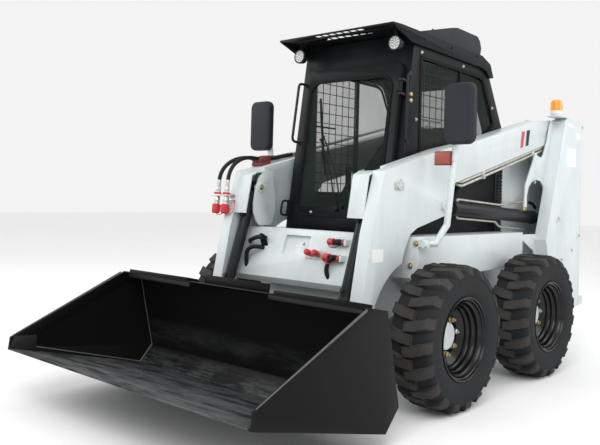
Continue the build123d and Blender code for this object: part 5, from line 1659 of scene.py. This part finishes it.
# Studio --------------------------------------------------------------------------------------------
@dataclass(frozen=True)
class Studio:
    """A plain pale floor, soft light all round and the camera."""

    eye: Vector = Vector((2.8466, -3.2792, 1.1212))
    aim: Vector = Vector((-0.019, 0.2, 1.232))
    roll: float = radians(1.447)
    lens: float = 42.6
    shift: tuple[float, float] = (-0.0936, -0.072)
    floor_size: float = 60.0
    floor_drop: float = 0.0005
    surroundings: float = 0.90
    middle: Vector = Vector((0, 0, 0.9))
    # Place, size and watts of each lamp; all aim at the machine's middle.
    LAMPS = (((3.5, -5.0, 6.0), 5.0, 300.0), ((-6.0, -3.0, 4.0), 4.0, 90.0), ((5.5, 4.0, 4.5), 4.0, 110.0))

    def floor(self) -> None:
        """Lays the floor."""
        mesh = bmesh.new()
        bmesh.ops.create_grid(mesh, x_segments=1, y_segments=1, size=self.floor_size / 2)
        data = bpy.data.meshes.new("floor")
        mesh.to_mesh(data)
        mesh.free()
        floor = bpy.data.objects.new("floor", data)
        floor.location.z = -self.floor_drop
        bpy.context.scene.collection.objects.link(floor)
        bench = Bench("pale_floor")
        mottle = bench.noise(0.8, 3.0)
        data.materials.append(bench.dress(Base_Color=bench.blend((0.90, 0.90, 0.90), (0.94, 0.94, 0.94), mottle),
                                          Roughness=0.9, Specular_IOR_Level=0.1))

    def lights(self) -> None:
        """Hangs the lamps and the pale surroundings."""
        world = bpy.data.worlds.new("studio")
        bpy.context.scene.world = world
        world.use_nodes = True
        sky = world.node_tree.nodes["Background"]
        sky.inputs[0].default_value = (1.0, 1.0, 1.0, 1.0)
        sky.inputs[1].default_value = self.surroundings
        for index, (place, size, watts) in enumerate(self.LAMPS):
            data = bpy.data.lights.new(f"lamp_{index}", "AREA")
            data.size, data.energy = size, watts
            lamp = bpy.data.objects.new(f"lamp_{index}", data)
            lamp.location = place
            lamp.rotation_mode = "QUATERNION"
            lamp.rotation_quaternion = (self.middle - Vector(place)).to_track_quat("-Z", "Y")
            bpy.context.scene.collection.objects.link(lamp)
        bpy.context.scene.view_settings.view_transform = "Standard"

    def camera(self) -> None:
        """Sets the camera."""
        data = bpy.data.cameras.new("camera")
        data.lens, data.sensor_width = self.lens, 36.0
        data.shift_x, data.shift_y = self.shift
        data.clip_end = 200.0
        camera = bpy.data.objects.new("camera", data)
        bpy.context.scene.collection.objects.link(camera)
        offset = Vector((0, FRONT_AXLE_Y, 0))
        forward = (self.aim - self.eye).normalized()
        right = forward.cross(UP).normalized()
        up = right.cross(forward)
        leaned = right * cos(self.roll) + up * sin(self.roll)
        risen = up * cos(self.roll) - right * sin(self.roll)
        turn = Matrix((leaned, risen, -forward)).transposed().to_4x4()
        camera.matrix_world = Matrix.Translation(self.eye + offset) @ turn
        bpy.context.scene.camera = camera

    def build(self) -> None:
        """Makes the floor, the lights and the camera."""
        self.floor()
        self.lights()
        self.camera()


def main() -> None:
    """Builds each sub-assembly in order."""
    logging.basicConfig(level=logging.INFO, format="%(message)s")
    look = Finishes()
    Skins(look).build()
    for corner in Corner:
        Wheel(corner, look).build()
    Door(look).build()
    Cab(look).build()
    Mirrors(look).build()
    LiftArms(look).build()
    OperatorSeat(look).build()
    BucketTrim(look).build()
    BodySides(look).build()
    for side in Side:
        Cylinder(look, Kind.LIFT, side, base=(1.630, 1.000), end=(0.280, 1.077), x=0.5265, bore=0.045, rod=0.025,
                 barrel=1.180).build()
        Cylinder(look, Kind.TILT, side, base=(-0.262, 1.165), end=(-0.500, 0.430), x=0.462, bore=0.033, rod=0.019,
                 barrel=0.640).build()
    Studio().build()


if __name__ == "__main__":
    main()
